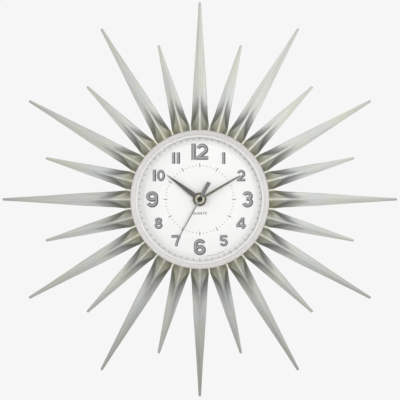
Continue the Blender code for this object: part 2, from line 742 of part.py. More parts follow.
# Stepping motor: stator plate, core bar and coil
STATOR = [
    (-12.0, 22.0),
    (-12.0, 12.6),
    (5.5, 12.6),
    (5.5, 10.8),
    (16.5, 10.8),
    (16.5, 22.0),
    (6.9, 22.0),
    (6.9, 15.0),
    (-9.5, 15.0),
    (-9.5, 22.0),
]
stator = plate("stator", [STATOR, ring_of(3.1, 20, ROTOR_AXIS)], 10.2, 11.2)
finish(stator, "stator", STEEL)
core = block("core", (-11.8, 16.2), (19.3, 21.7), (8.9, 9.9))
finish(core, "coil_core", STEEL, (0.0, 20.5), 9.4)
LENGTHWISE = Matrix(((0, 0, 1, 0), (1, 0, 0, 0), (0, 1, 0, 0), (0, 0, 0, 1)))
coil_profile = [
    (0.0, 6.5),
    (4.0, 6.5),
    (4.0, 5.5),
    (3.4, 5.5),
    (3.4, -7.5),
    (4.0, -7.5),
    (4.0, -8.5),
    (0.0, -8.5),
]
coil = turned("coil", coil_profile, 20)
coil.data.transform(Matrix.Translation(Vector((0.0, 20.5, 9.4)) * MM) @ LENGTHWISE)
coil = cut(coil, block("core_way", (-10.0, 8.0), (19.0, 22.0), (8.6, 10.2)))
finish(coil, "coil", COPPER, (-1.0, 20.5), 9.4)

# Circuit board with its chip and crystal
board = plate("board", [soft_rect(-25.0, 8.0, -13.0, 24.5, 0.6, 2)], 10.8, 11.6)
finish(board, "circuit_board", GREEN_BOARD)
chip_profile = [(0.0, 10.5), (2.8, 10.5), (2.8, 10.1), (2.2, 9.4), (0.0, 9.1)]
chip = turned("chip", chip_profile, 16, (-18.6, 13.6))
finish(chip, "chip", BLACK_PLASTIC, (-18.6, 13.6), 9.8)
can_profile = [(0.0, -15.4), (0.8, -15.4), (1.0, -15.6), (1.0, -21.4), (0.0, -21.4)]
can = turned("can", can_profile, 12)
can.data.transform(Matrix.Translation(Vector((0.0, 21.4, 9.5)) * MM) @ LENGTHWISE)
finish(can, "crystal", STEEL, (-18.4, 21.4), 9.5)

# Battery contacts, run up the bay's ends to the board
positive = [(25.6, -25.0), (26.0, -25.0), (26.0, 25.2), (-12.4, 25.2), (-12.4, 24.8), (25.6, 24.8)]
finish(plate("positive", [positive], 5.0, 10.0), "positive_contact", STEEL)
negative = [(-25.9, -25.0), (-25.5, -25.0), (-25.5, 16.0), (-25.9, 16.0)]
finish(plate("negative", [negative], 5.0, 10.4), "negative_contact", STEEL)

# AA cell, lying across the bay
cell_profile = [
    (0.0, CELL_BUTTON),
    (2.6, CELL_BUTTON),
    (2.6, CELL_SHOULDER),
    (6.7, CELL_SHOULDER),
    (CELL_R, CELL_SHOULDER - 0.6),
    (CELL_R, CELL_END + 0.6),
    (6.7, CELL_END),
    (0.0, CELL_END),
]
cell = turned("cell", cell_profile, 28)
cell.data.transform(Matrix.Translation(Vector((0.0, CELL_UP, CELL_DEPTH)) * MM) @ LENGTHWISE)
finish(cell, "battery", CELL_JACKET, (0.0, CELL_UP), CELL_DEPTH)

# Setting knob, pressed on the motion wheel's arbor
knurl = []
for k in range(24):
    knurl.append(polar(KNOB_R, 15 * k - 3, MOTION_AXIS))
    knurl.append(polar(KNOB_R, 15 * k + 3, MOTION_AXIS))
    knurl.append(polar(KNOB_R - 0.5, 15 * k + 7.5, MOTION_AXIS))
knob = plate("knob", [knurl], 0.4, 2.6)
knob = cut(knob, rod("knob_bore", 0.9, 1.2, 4.0, MOTION_AXIS))
finish(knob, "setting_knob", WHITE_PLASTIC, MOTION_AXIS, 1.5)
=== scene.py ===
"""Sunburst wall clock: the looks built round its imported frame.

Shapes are drawn on the dial in millimetres: x to the right, y up, and depth off the wall towards the viewer.
FACE_ON stands them up in the frame's metres, where the dial faces -Y. Dial angles run clockwise from 12.
"""

import math

import bmesh
import bpy
from mathutils import Matrix, Vector


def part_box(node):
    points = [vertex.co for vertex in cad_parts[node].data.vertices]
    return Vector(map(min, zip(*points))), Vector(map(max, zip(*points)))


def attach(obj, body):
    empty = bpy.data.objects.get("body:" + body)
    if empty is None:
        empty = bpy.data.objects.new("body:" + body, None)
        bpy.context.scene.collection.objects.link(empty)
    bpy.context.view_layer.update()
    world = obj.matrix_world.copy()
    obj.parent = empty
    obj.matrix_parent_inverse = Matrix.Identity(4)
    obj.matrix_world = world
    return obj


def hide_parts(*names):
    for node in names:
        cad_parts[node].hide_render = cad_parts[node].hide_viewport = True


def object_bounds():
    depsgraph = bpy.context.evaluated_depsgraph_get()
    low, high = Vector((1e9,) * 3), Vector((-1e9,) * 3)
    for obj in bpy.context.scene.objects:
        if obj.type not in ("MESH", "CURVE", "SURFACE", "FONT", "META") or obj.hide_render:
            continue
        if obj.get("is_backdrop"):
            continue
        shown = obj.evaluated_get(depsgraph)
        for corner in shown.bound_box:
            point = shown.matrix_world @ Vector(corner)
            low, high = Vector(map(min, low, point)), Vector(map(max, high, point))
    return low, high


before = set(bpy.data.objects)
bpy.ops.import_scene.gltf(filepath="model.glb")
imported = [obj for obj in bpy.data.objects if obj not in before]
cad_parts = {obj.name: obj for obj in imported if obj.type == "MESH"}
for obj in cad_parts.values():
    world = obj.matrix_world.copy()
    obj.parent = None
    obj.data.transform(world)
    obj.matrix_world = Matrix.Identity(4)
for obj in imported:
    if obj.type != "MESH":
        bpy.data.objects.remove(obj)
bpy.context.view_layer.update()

MM = 0.001
FACE_ON = Matrix.Rotation(math.radians(90), 4, "X")
# Turns a drawing on edge: its x goes up the dial, its y off the wall, its thickness or turning axis across.
LENGTHWISE = Matrix(((0, 0, 1, 0), (1, 0, 0, 0), (0, 1, 0, 0), (0, 0, 0, 1)))


# ---------------------------------------------------------------- sizes, read from the frame
def span(node):
    """The node's width across, in millimetres, and its lowest and highest depth off the wall."""
    low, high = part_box(node)
    return (high[0] - low[0]) / MM, -high[1] / MM, -low[1] / MM


def middle(node):
    """The middle of the node on the dial's plane, in millimetres."""
    low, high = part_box(node)
    return (low[0] + high[0]) / 2 / MM, (low[2] + high[2]) / 2 / MM


BEZEL_W, BEZEL_BACK, BEZEL_TOP = span("bezel_ring")
BEZEL_R = BEZEL_W / 2
LENS_W, LENS_SEAT, LENS_APEX = span("lens")
LENS_R = LENS_W / 2
DIAL_W, DIAL_BACK, DIAL_FRONT = span("dial_plate")
DIAL_R = DIAL_W / 2
TRACK_W, TRACK_BACK = span("dial_flange")[:2]
LONG_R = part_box("ray_long_00")[1][2] / MM
SHORT_R = math.hypot(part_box("ray_short_00")[1][0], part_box("ray_short_00")[1][2]) / MM
RAY_BACK = -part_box("ray_long_00")[1][1] / MM
HUB_DEPTH = span("hour_hand")[1]
MINUTE_DEPTH = span("minute_hand")[1]
SECOND_DEPTH = span("second_hand")[1]


# ---------------------------------------------------------------- building tools
def polar(radius, angle, centre=(0.0, 0.0)):
    """A point at a radius and a dial angle from a centre."""
    turn = math.radians(angle)
    return (centre[0] + radius * math.sin(turn), centre[1] + radius * math.cos(turn))


def object_from(name, mesh, look=None):
    obj = bpy.data.objects.new(name, mesh)
    bpy.context.scene.collection.objects.link(obj)
    if look:
        obj.data.materials.append(look)
    return obj


def place(obj, body, slot, *nodes):
    """Rides a piece on its body and says which CAD nodes it stands for; the slot, meant to name its finish,
    is not used.
    """
    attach(obj, body)
    if nodes:
        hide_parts(*nodes)


def applied(obj):
    """The object with its modifiers made real."""
    bpy.context.view_layer.update()
    graph = bpy.context.evaluated_depsgraph_get()
    mesh = bpy.data.meshes.new_from_object(obj.evaluated_get(graph))
    mesh.transform(obj.matrix_world)
    name = obj.name
    looks = [slot.material for slot in obj.material_slots]
    bpy.data.objects.remove(obj, do_unlink=True)
    made = object_from(name, mesh)
    made.data.materials.clear()
    for look in looks:
        made.data.materials.append(look)
    return made


def shade(obj, angle=30):
    """Smooth shading, with edges sharper than the angle left crisp."""
    obj.data.shade_smooth()
    obj.data.set_sharp_from_angle(angle=math.radians(angle))
    return obj


def fillet(points, steps=4):
    """A closed outline of (x, y, radius) points with its corners rounded."""
    out = []
    count = len(points)
    for k, (x, y, radius) in enumerate(points):
        here = Vector((x, y))
        if radius <= 0:
            out.append((x, y))
            continue
        before = Vector(points[k - 1][:2]) - here
        after = Vector(points[(k + 1) % count][:2]) - here
        reach = min(radius, before.length * 0.45, after.length * 0.45)
        start = here + before.normalized() * reach
        end = here + after.normalized() * reach
        for i in range(steps + 1):
            t = i / steps
            point = start * (1 - t) ** 2 + here * 2 * t * (1 - t) + end * t**2
            out.append((point.x, point.y))
    return out


def lathe(name, profile, look, steps=160, centre=(0.0, 0.0), matrix=None, angle=30):
    """A turned piece from (radius, depth) points, stood up in the world."""
    mesh = bpy.data.meshes.new(name)
    bm = bmesh.new()
    verts = [bm.verts.new((radius * MM, 0.0, depth * MM)) for radius, depth in profile]
    for a, b in zip(verts, verts[1:]):
        bm.edges.new((a, b))
    if profile[0][0] > 0 or profile[-1][0] > 0:  # a solid one begins and ends on its axis
        bm.edges.new((verts[-1], verts[0]))
    bm.to_mesh(mesh)
    bm.free()
    obj = object_from(name, mesh)
    screw = obj.modifiers.new("Turn", "SCREW")
    screw.axis = "Z"
    screw.angle = math.tau
    screw.steps = steps
    screw.render_steps = steps
    screw.use_merge_vertices = True
    screw.merge_threshold = 0.001 * MM
    obj = applied(obj)
    tidy(obj.data)
    shift = Matrix.Translation(Vector((centre[0], centre[1], 0.0)) * MM)
    obj.data.transform(FACE_ON @ (matrix or shift))
    obj.data.materials.append(look)
    return shade(obj, angle)


def tidy(mesh):
    """Welds doubled points and turns every face outwards."""
    bm = bmesh.new()
    bm.from_mesh(mesh)
    bmesh.ops.remove_doubles(bm, verts=bm.verts, dist=0.0005 * MM)
    bmesh.ops.recalc_face_normals(bm, faces=bm.faces)
    bm.to_mesh(mesh)
    bm.free()


def plate(name, loops, low, high, look, bevel=0.0, matrix=None):
    """A flat piece cut to an outline, with softened edges."""
    curve = bpy.data.curves.new(name, "CURVE")
    curve.dimensions = "2D"
    curve.fill_mode = "BOTH"
    curve.extrude = (high - low) / 2 * MM
    for loop in loops:
        spline = curve.splines.new("POLY")
        spline.points.add(len(loop) - 1)
        for point, (x, y) in zip(spline.points, loop):
            point.co = (x * MM, y * MM, 0.0, 1.0)
        spline.use_cyclic_u = True
    obj = bpy.data.objects.new(name, curve)
    bpy.context.scene.collection.objects.link(obj)
    obj.location.z = (low + high) / 2 * MM
    obj = applied(obj)
    tidy(obj.data)
    if bevel:
        obj = soften(obj, bevel)
    obj.data.transform(FACE_ON if matrix is None else FACE_ON @ matrix)
    obj.data.materials.append(look)
    return shade(obj)


def soften(obj, width):
    """The object with a narrow bevel along its sharp edges."""
    step = obj.modifiers.new("Soft edges", "BEVEL")
    step.width = width * MM
    step.segments = 2
    step.limit_method = "ANGLE"
    step.angle_limit = math.radians(35)
    step.use_clamp_overlap = True
    return applied(obj)


def bridge(bm, rows, closed=False):
    """Faces between rows of vertices one after another, capped at both ends unless the rows close."""
    for a, b in list(zip(rows, rows[1:])) + ([(rows[-1], rows[0])] if closed else []):
        for k in range(len(a)):
            bm.faces.new((a[k - 1], a[k], b[k], b[k - 1]))
    if not closed:
        bm.faces.new(rows[0])
        bm.faces.new(list(reversed(rows[-1])))
    bmesh.ops.recalc_face_normals(bm, faces=bm.faces)


def loft(name, sections, look, closed=False):
    """A solid through sections of (x, y, depth) points, stood up in the world."""
    mesh = bpy.data.meshes.new(name)
    bm = bmesh.new()
    bridge(bm, [[bm.verts.new(Vector(point) * MM) for point in section] for section in sections], closed)
    bm.to_mesh(mesh)
    bm.free()
    mesh.transform(FACE_ON)
    return object_from(name, mesh, look)


def merged(name, objects):
    """Several small meshes of one material as one piece."""
    bm = bmesh.new()
    for obj in objects:
        obj.data.transform(obj.matrix_world)
        bm.from_mesh(obj.data)
    mesh = bpy.data.meshes.new(name)
    bm.to_mesh(mesh)
    bm.free()
    look = objects[0].data.materials[0]
    for obj in objects:
        bpy.data.objects.remove(obj, do_unlink=True)
    return object_from(name, mesh, look)


def ring_of(radius, count, centre):
    """Evenly spaced points round a circle."""
    return [polar(radius, 360 * k / count, centre) for k in range(count)]


# ---------------------------------------------------------------- materials
def shader_node(tree, kind, inputs=None, **settings):
    """A node with its settings, and its inputs given as plain values or as other nodes' outputs."""
    made = tree.nodes.new(kind)
    for key, value in settings.items():
        setattr(made, key, value)
    for socket, value in (inputs or {}).items():
        if isinstance(value, bpy.types.NodeSocket):
            tree.links.new(value, made.inputs[socket])
        else:
            made.inputs[socket].default_value = value
    return made


def colour_ramp(tree, value, stops, interpolation="LINEAR"):
    """A colour ramp on a 0 to 1 value, from (place, colour) stops; a plain number stands for a grey."""
    made = shader_node(tree, "ShaderNodeValToRGB", {"Fac": value})
    made.color_ramp.interpolation = interpolation
    elements = made.color_ramp.elements
    elements.remove(elements[-1])
    for k, (at, colour) in enumerate(stops):
        element = elements.new(at) if k else elements[0]
        element.position = at
        element.color = (*colour, 1.0) if isinstance(colour, tuple) else (colour, colour, colour, 1.0)
    return made.outputs["Color"]


class Look:
    """A Principled material whose colour, roughness and bump come from its own nodes."""

    def __init__(self, name, colour, roughness, metallic=0.0):
        self.mat = bpy.data.materials.new(name)
        self.mat.use_nodes = True
        self.tree = self.mat.node_tree
        self.bsdf = self.tree.nodes["Principled BSDF"]
        self.bsdf.inputs["Base Color"].default_value = (*colour, 1.0)
        self.bsdf.inputs["Roughness"].default_value = roughness
        self.bsdf.inputs["Metallic"].default_value = metallic
        self.colour = colour
        self.coord = self.node("ShaderNodeTexCoord").outputs["Object"]
        self.height = None

    def node(self, kind, inputs=None, **settings):
        return shader_node(self.tree, kind, inputs, **settings)

    def drive(self, socket, value):
        """Feeds one of the shader's own inputs."""
        self.tree.links.new(value, self.bsdf.inputs[socket])
        return self

    def calc(self, operation, *values):
        """Arithmetic on plain values and other nodes' outputs."""
        return self.node("ShaderNodeMath", dict(enumerate(values)), operation=operation).outputs[0]

    def noise(self, scale=(1, 1, 1), size=400.0, detail=3.0, rough=0.55, source=None):
        """Noise on the object's coordinates, or on others, stretched by a factor on each axis."""
        spread = self.node("ShaderNodeMapping", {"Vector": source or self.coord, "Scale": scale}).outputs[0]
        inputs = {"Vector": spread, "Scale": size, "Detail": detail, "Roughness": rough}
        return self.node("ShaderNodeTexNoise", inputs).outputs["Fac"]

    def remap(self, value, low, high, out_low, out_high):
        """A value's range from low to high laid onto another range, and held at its ends."""
        inputs = {"Value": value, "From Min": low, "From Max": high, "To Min": out_low, "To Max": out_high}
        return self.node("ShaderNodeMapRange", inputs).outputs["Result"]

    def tint(self, value, dark, light):
        """Blends the colour between two shades of itself by a 0 to 1 value."""
        shades = [(*[min(c * s, 1.0) for c, s in zip(self.colour, shade)], 1.0) for shade in (dark, light)]
        mix = self.node("ShaderNodeMix", {0: value, 6: shades[0], 7: shades[1]}, data_type="RGBA")
        return self.drive("Base Color", mix.outputs[2])

    def polish(self, value, low, high):
        """Roughness that wanders between two values."""
        return self.drive("Roughness", self.remap(value, 0.25, 0.75, low, high))

    def relief(self, value, depth):
        """Adds a bump of a depth in millimetres to those already there."""
        inputs = {"Strength": 1.0, "Distance": depth * MM, "Height": value}
        if self.height:
            inputs["Normal"] = self.height
        self.height = self.node("ShaderNodeBump", inputs).outputs[0]
        return self.drive("Normal", self.height)


def moulded(name, colour, roughness, grain=900.0, depth=0.02):
    """Injection-moulded plastic: a fine spark-eroded grain, a little flow shading and uneven gloss."""
    look = Look(name, colour, roughness)
    fine = look.noise(size=grain, detail=2.0)
    broad = look.noise(size=18.0, detail=4.0)
    look.tint(broad, (0.88,) * 3, (1.12,) * 3)
    look.polish(broad, roughness * 0.85, roughness * 1.2)
    look.relief(fine, depth)
    return look.mat


def plated(name, colour, roughness, streak=(1, 1, 1), size=300.0, depth=0.01):
    """Bare or plated metal with drawn or rolled streaks and light tarnish."""
    look = Look(name, colour, roughness, 1.0)
    lines = look.noise(scale=streak, size=size, detail=4.0)
    broad = look.noise(size=60.0, detail=5.0)
    look.tint(broad, (0.92,) * 3, (1.08,) * 3)
    look.polish(lines, roughness * 0.75, roughness * 1.3)
    look.relief(lines, depth)
    return look.mat


def champagne(name, ridge_highlight=False):
    """Vacuum-metallised satin plastic, finely streaked: olive at the root and darkened there with painted
    shade beside the bezel, paler along the blade.

    The ridge kind carries a painted highlight down the ridge line, brightest where it stands proud past the
    petal.
    """
    look = Look(name, (0.79, 0.80, 0.75), 0.30, 1.0)
    across = look.node("ShaderNodeVectorMath", {0: look.coord, 1: (1.0, 0.0, 1.0)}, operation="MULTIPLY")
    reach = look.node("ShaderNodeVectorMath", {0: across.outputs[0]}, operation="LENGTH").outputs["Value"]
    streak = look.noise(size=70.0, detail=5.0)
    mottle = look.noise(size=24.0, detail=3.0)
    share = look.remap(look.calc("MULTIPLY_ADD", mottle, 0.008, reach), 0.076, 0.219, 0.0, 1.0)
    # Colour along the ray: olive at the root and darker there, the darkening being painted shade beside the
    # bezel; palest mid-blade, a little darker at the tip.
    hues_and_root_shade = (
        (0.0, (0.70, 0.70, 0.57)),
        (0.055, (0.745, 0.75, 0.595)),
        (0.11, (0.775, 0.785, 0.68)),
        (0.2, (0.79, 0.80, 0.76)),
        (0.5, (0.78, 0.79, 0.735)),
        (1.0, (0.74, 0.75, 0.68)),
    )
    brushed = look.node("ShaderNodeUVMap", uv_map="brushed").outputs["UV"]
    lines = look.noise(scale=(1.0, 0.03, 1.0), size=460.0, detail=4.0, rough=0.6, source=brushed)
    broad, fine = look.remap(streak, 0.3, 0.7, 0.955, 1.02), look.remap(lines, 0.34, 0.66, 0.89, 1.115)
    level = look.calc("MULTIPLY", broad, fine)
    if ridge_highlight:
        # Painted highlight: the ridge line's colour is lifted, most about 97 to 112 mm out.
        highlight_stops = ((0.0, 0.9), (0.055, 0.82), (0.09, 0.78), (0.15, 0.97), (0.19, 1.0), (0.25, 0.85))
        highlight_level = colour_ramp(look.tree, share, (*highlight_stops, (0.34, 0.79), (1.0, 0.78)), "EASE")
        level = look.calc("MULTIPLY", level, look.remap(highlight_level, 0.0, 1.0, 0.0, 1.25))
    warmth = look.noise(size=38.0, detail=2.0)
    tone = {}
    for channel, cool, warm in (("Red", 0.975, 1.02), ("Green", 0.99, 1.01), ("Blue", 1.035, 0.96)):
        tone[channel] = look.calc("MULTIPLY", level, look.remap(warmth, 0.35, 0.65, cool, warm))
    tone = look.node("ShaderNodeCombineColor", tone).outputs[0]
    inputs = {0: 1.0, 6: colour_ramp(look.tree, share, hues_and_root_shade), 7: tone}
    mix = look.node("ShaderNodeMix", inputs, data_type="RGBA", blend_type="MULTIPLY")
    look.drive("Base Color", mix.outputs[2])
    look.polish(streak, 0.27, 0.33)
    look.relief(lines, 0.01)
    return look.mat


def pearl(name, colour, roughness, rings=True):
    """Pearl-lacquered plastic with faint turning lines round the axis."""
    look = Look(name, colour, roughness, 0.12)
    broad = look.noise(size=22.0, detail=4.0)
    flake = look.noise(size=2600.0, detail=1.0)
    look.tint(broad, (0.96, 0.96, 0.955), (1.03, 1.03, 1.03))
    look.polish(flake, roughness * 0.85, roughness * 1.15)
    if rings:
        inputs = {"Vector": look.coord, "Scale": 330.0, "Distortion": 0.4}
        wave = look.node("ShaderNodeTexWave", inputs, wave_type="RINGS", rings_direction="Y")
        look.relief(wave.outputs["Fac"], 0.012)
    look.relief(flake, 0.004)
    return look.mat


def clear_lens():
    """Clear styrene: what lies behind shows through, with a weak sheen at every angle."""
    mat = bpy.data.materials.new("lens_clear")
    mat.use_nodes = True
    tree = mat.node_tree
    tree.nodes.remove(tree.nodes["Principled BSDF"])
    through = shader_node(tree, "ShaderNodeBsdfTransparent", {"Color": (0.99, 0.99, 0.99, 1.0)})
    ripple = shader_node(tree, "ShaderNodeTexNoise", {"Scale": 30.0, "Detail": 1.0}).outputs["Fac"]
    bump = shader_node(tree, "ShaderNodeBump", {"Strength": 0.15, "Distance": 0.05 * MM, "Height": ripple})
    inputs = {"Color": (1.0, 1.0, 1.0, 1.0), "Roughness": 0.04, "Normal": bump.outputs[0]}
    gloss = shader_node(tree, "ShaderNodeBsdfGlossy", inputs)
    facing = shader_node(tree, "ShaderNodeLayerWeight", {"Blend": 0.5}).outputs["Facing"]
    steep = shader_node(tree, "ShaderNodeMath", {0: facing, 1: 5.0}, operation="POWER").outputs[0]
    sheen = shader_node(tree, "ShaderNodeMapRange", {"Value": steep, "To Min": 0.0098, "To Max": 0.4})
    shares = {0: sheen.outputs["Result"], 1: through.outputs[0], 2: gloss.outputs[0]}
    mix = shader_node(tree, "ShaderNodeMixShader", shares)
    tree.links.new(mix.outputs[0], tree.nodes["Material Output"].inputs["Surface"])
    return mat


def printed(name, colour, roughness=0.45):
    """Screen-printed ink with a slightly uneven coat."""
    look = Look(name, colour, roughness)
    value = look.noise(size=700.0, detail=3.0)
    look.tint(value, (0.9,) * 3, (1.1,) * 3)
    look.polish(value, roughness * 0.8, roughness * 1.2)
    return look.mat


def bevel_print():
    """Grey bevelled numerals with painted light and shade by facing: the top face light, the chamfers darker,
    lit as from the upper left and darkest towards the lower right.
    """
    look = Look("numeral_painted_shade", (0.34, 0.34, 0.352), 0.42)
    facing = look.node("ShaderNodeTexCoord").outputs["Normal"]

    def towards(direction):
        """How squarely the surface looks in a direction."""
        dot = look.node("ShaderNodeVectorMath", {0: facing, 1: direction}, operation="DOT_PRODUCT")
        return dot.outputs["Value"]

    # Painted shade: the steep chamfers darker than the flat top face.
    face = look.remap(towards((0.0, -1.0, 0.0)), 0.975, 0.995, 0.0, 0.62)
    # Painted light and shade: sides facing the upper left lighter, those facing the lower right darker.
    side = look.remap(towards((-0.85, 0.0, 0.53)), -0.26, 0.26, -0.02, 0.64)
    uneven = look.noise(size=600.0, detail=3.0)
    level = look.calc("MULTIPLY_ADD", uneven, 0.12, look.calc("ADD", face, side))
    look.tint(level, (0.12, 0.12, 0.13), (1.12, 1.12, 1.12))
    look.polish(uneven, 0.36, 0.5)
    return look.mat


def dial_white():
    """Smooth white paint with the faintest unevenness."""
    look = Look("dial_white", (0.905, 0.905, 0.895), 0.5)
    broad = look.noise(size=14.0, detail=3.0)
    fine = look.noise(size=1800.0, detail=2.0)
    look.tint(broad, (0.985, 0.985, 0.98), (1.01, 1.01, 1.01))
    look.polish(fine, 0.42, 0.6)
    look.relief(fine, 0.004)
    return look.mat


def hand_metal(name, colour, roughness):
    """Lacquered sheet-metal hand: fine graining under satin lacquer."""
    look = Look(name, colour, roughness, 0.45)
    fine = look.noise(size=900.0, detail=3.0)
    look.tint(fine, (0.88,) * 3, (1.12,) * 3)
    look.polish(fine, roughness * 0.85, roughness * 1.2)
    look.relief(fine, 0.006)
    return look.mat


RAY = champagne("ray_metallised")
# The ridge faces: the same finish with a painted highlight along the ridge.
RIDGE_LOOK = champagne("ray_ridge", ridge_highlight=True)
BEZEL = pearl("bezel_pearl", (0.79, 0.78, 0.762), 0.33)
TRACK = pearl("track_pearl", (0.84, 0.84, 0.83), 0.38, rings=False)
LENS = clear_lens()
DIAL = dial_white()
# Numerals: grey, with painted light and shade by how each face is turned.
NUMERAL = bevel_print()
TICK = printed("tick_ink", (0.33, 0.33, 0.335))
WORD_INK = printed("word_ink", (0.09, 0.09, 0.095))
SOFT_TICK = printed("soft_tick_ink", (0.40, 0.40, 0.39))
TRACK_INK = printed("track_ink", (0.60, 0.60, 0.59))
PAPER = printed("label_paper", (0.80, 0.80, 0.77), 0.6)
BAND = printed("battery_band", (0.62, 0.63, 0.64), 0.3)
HOUR = hand_metal("hour_lacquer", (0.145, 0.145, 0.14), 0.36)
TAIL = hand_metal("tail_lacquer", (0.20, 0.20, 0.195), 0.36)
MINUTE = hand_metal("minute_lacquer", (0.235, 0.23, 0.18), 0.34)
SECOND = hand_metal("second_lacquer", (0.36, 0.36, 0.355), 0.4)
HUB_BLACK = moulded("hub_black", (0.011, 0.010, 0.006), 0.6, depth=0.006)
HUB_OLIVE = plated("hub_olive", (0.66, 0.65, 0.53), 0.26, size=700.0, depth=0.004)
HUB_RIM = plated("hub_rim", (0.13, 0.125, 0.085), 0.32, size=700.0, depth=0.004)
BLACK = moulded("movement_black", (0.030, 0.030, 0.031), 0.48)
CASE = moulded("case_abs", (0.70, 0.695, 0.665), 0.45)
CLAMP = moulded("clamp_black", (0.045, 0.045, 0.045), 0.5)
ZINC = plated("steel_zinc", (0.66, 0.66, 0.67), 0.32, size=220.0)
BRASS = plated("nut_brass", (0.74, 0.56, 0.27), 0.28)
STATOR = plated("stator_steel", (0.50, 0.50, 0.51), 0.36, streak=(1, 1, 6))
COPPER = plated("coil_copper", (0.72, 0.33, 0.15), 0.32, streak=(40, 1, 1), size=60.0, depth=0.05)
BOARD = moulded("board_green", (0.04, 0.20, 0.08), 0.32, grain=500.0)
NICKEL = plated("contact_nickel", (0.72, 0.70, 0.64), 0.24)
GEAR = moulded("gear_white", (0.80, 0.80, 0.77), 0.4, depth=0.008)
KNOB = moulded("knob_white", (0.74, 0.74, 0.71), 0.42)
MAGNET = plated("rotor_magnet", (0.20, 0.20, 0.21), 0.45, size=800.0)
JACKET = printed("battery_jacket", (0.045, 0.055, 0.075), 0.28)

# ---------------------------------------------------------------- camera, floor and light
FLOOR = -0.62
LENS_MM, SENSOR_MM = 110.0, 36.0
VIEW_WIDTH = 0.4357
VIEW_DEPTH = 0.012  # how far off the wall the view is VIEW_WIDTH wide
camera_data = bpy.data.cameras.new("camera")
camera_data.lens = LENS_MM
camera_data.sensor_width = SENSOR_MM
camera_data.clip_start = 0.05
camera_data.clip_end = 30.0
camera_data.shift_x = 0.0005
camera_data.shift_y = -0.0016
camera = bpy.data.objects.new("camera", camera_data)
bpy.context.scene.collection.objects.link(camera)
camera.location = (0.0, -(VIEW_WIDTH * LENS_MM / SENSOR_MM + VIEW_DEPTH), 0.0)
camera.rotation_euler = (math.radians(90), 0.0, 0.0)
bpy.context.scene.camera = camera
bpy.context.scene.view_settings.view_transform = "Standard"
bpy.context.scene.view_settings.look = "None"


def studio_floor():
    """A plain pale floor, well below the clock."""
    mesh = bpy.data.meshes.new("studio_floor")
    bm = bmesh.new()
    bmesh.ops.create_grid(bm, x_segments=8, y_segments=8, size=1.3)
    bm.to_mesh(mesh)
    bm.free()
    look = Look("studio_floor", (0.86, 0.86, 0.85), 0.7)
    look.tint(look.noise(size=3.0), (0.98,) * 3, (1.02,) * 3)
    floor = object_from("studio_floor", mesh, look.mat)
    floor.location = (0.0, 0.2, FLOOR)
    floor.visible_glossy = False
    floor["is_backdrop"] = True


def studio_world():
    """To the eye, a pale room; to the surfaces, a bright zone ahead of the dial, dimmer at the sides."""
    world = bpy.data.worlds.new("studio")
    bpy.context.scene.world = world
    world.use_nodes = True
    tree = world.node_tree
    tree.nodes.clear()
    where = shader_node(tree, "ShaderNodeTexCoord").outputs["Generated"]
    split = shader_node(tree, "ShaderNodeSeparateXYZ", {0: where})
    ahead = shader_node(tree, "ShaderNodeMath", {0: split.outputs["Y"], 1: -1.0}, operation="MULTIPLY")
    inputs = {"Value": ahead.outputs[0], "From Min": -1.0, "From Max": 1.0}
    share = shader_node(tree, "ShaderNodeMapRange", inputs).outputs["Result"]
    levels = (
        (0.0, 0.50),
        (0.30, 0.40),
        (0.46, 0.11),
        (0.62, 0.11),
        (0.75, 0.24),
        (0.86, 0.40),
        (0.93, 0.42),
        (1.0, 0.42),
    )
    inputs = {"Value": split.outputs["Z"], "From Min": -0.8, "From Max": 0.8, "To Min": 0.92, "To Max": 1.08}
    lift = shader_node(tree, "ShaderNodeMapRange", inputs).outputs["Result"]
    inputs = {"Color": colour_ramp(tree, share, levels, "EASE"), "Strength": lift}
    room = shader_node(tree, "ShaderNodeBackground", inputs).outputs[0]
    seen = shader_node(tree, "ShaderNodeBackground", {"Color": (0.922, 0.922, 0.922, 1.0)}).outputs[0]
    to_eye = shader_node(tree, "ShaderNodeLightPath").outputs["Is Camera Ray"]
    mix = shader_node(tree, "ShaderNodeMixShader", {0: to_eye, 1: room, 2: seen})
    shader_node(tree, "ShaderNodeOutputWorld", {"Surface": mix.outputs[0]})


def lamp(name, place_at, size, watts, aim=(0.0, 0.0, 0.0), glossy=False):
    """A soft square panel, seen by the camera never and in reflections only if asked."""
    data = bpy.data.lights.new(name, "AREA")
    data.size = size
    data.energy = watts
    obj = bpy.data.objects.new(name, data)
    bpy.context.scene.collection.objects.link(obj)
    obj.location = place_at
    obj.rotation_euler = (Vector(aim) - Vector(place_at)).to_track_quat("-Z", "Y").to_euler()
    obj.visible_glossy = glossy
    obj.visible_camera = False


studio_floor()
studio_world()
lamp("front", (0.005, -0.55, 0.103), 0.61, 0.41, aim=(0.005, 0.0, 0.103), glossy=True)
lamp("upper_right", (0.17, -0.56, 0.16), 0.40, 0.10, aim=(0.17, 0.0, 0.16), glossy=True)
lamp("key", (0.6, -1.45, 0.32), 0.8, 7.9)
lamp("left_fill", (-1.25, -0.75, 0.15), 1.0, 9.2)
lamp("right_fill", (1.25, -0.75, 0.15), 1.0, 4.5)
lamp("back", (0.9, 1.3, 0.9), 0.9, 14.0)

# ---------------------------------------------------------------- rays
RAY_ROOT_R = 73.0  # where the blade begins, under the bezel's rim
PETAL_START_R, PETAL_END_R = 74.5, 101.0
SHOULDER_R = 81.0  # where the ray stops widening
CRISP_RIDGE_R = 150.0  # up to here the ridge has sharp sides
HALF_PITCH = math.radians(7.5)
HALF_GAP = 0.5
TIP_HALF, TIP_ROUND = 1.42, 1.2
ROOT_EDGE, EDGE_FALL = 11.2, 0.9  # the edge's depth at the root, and how much less it is at the tip
RIDGE_HALF = 1.05
PETAL_SLOPE, ROOT_BELLY = 0.35, 0.5


def ease(value):
    """A smooth step from 0 to 1."""
    value = min(max(value, 0.0), 1.0)
    return value * value * (3 - 2 * value)


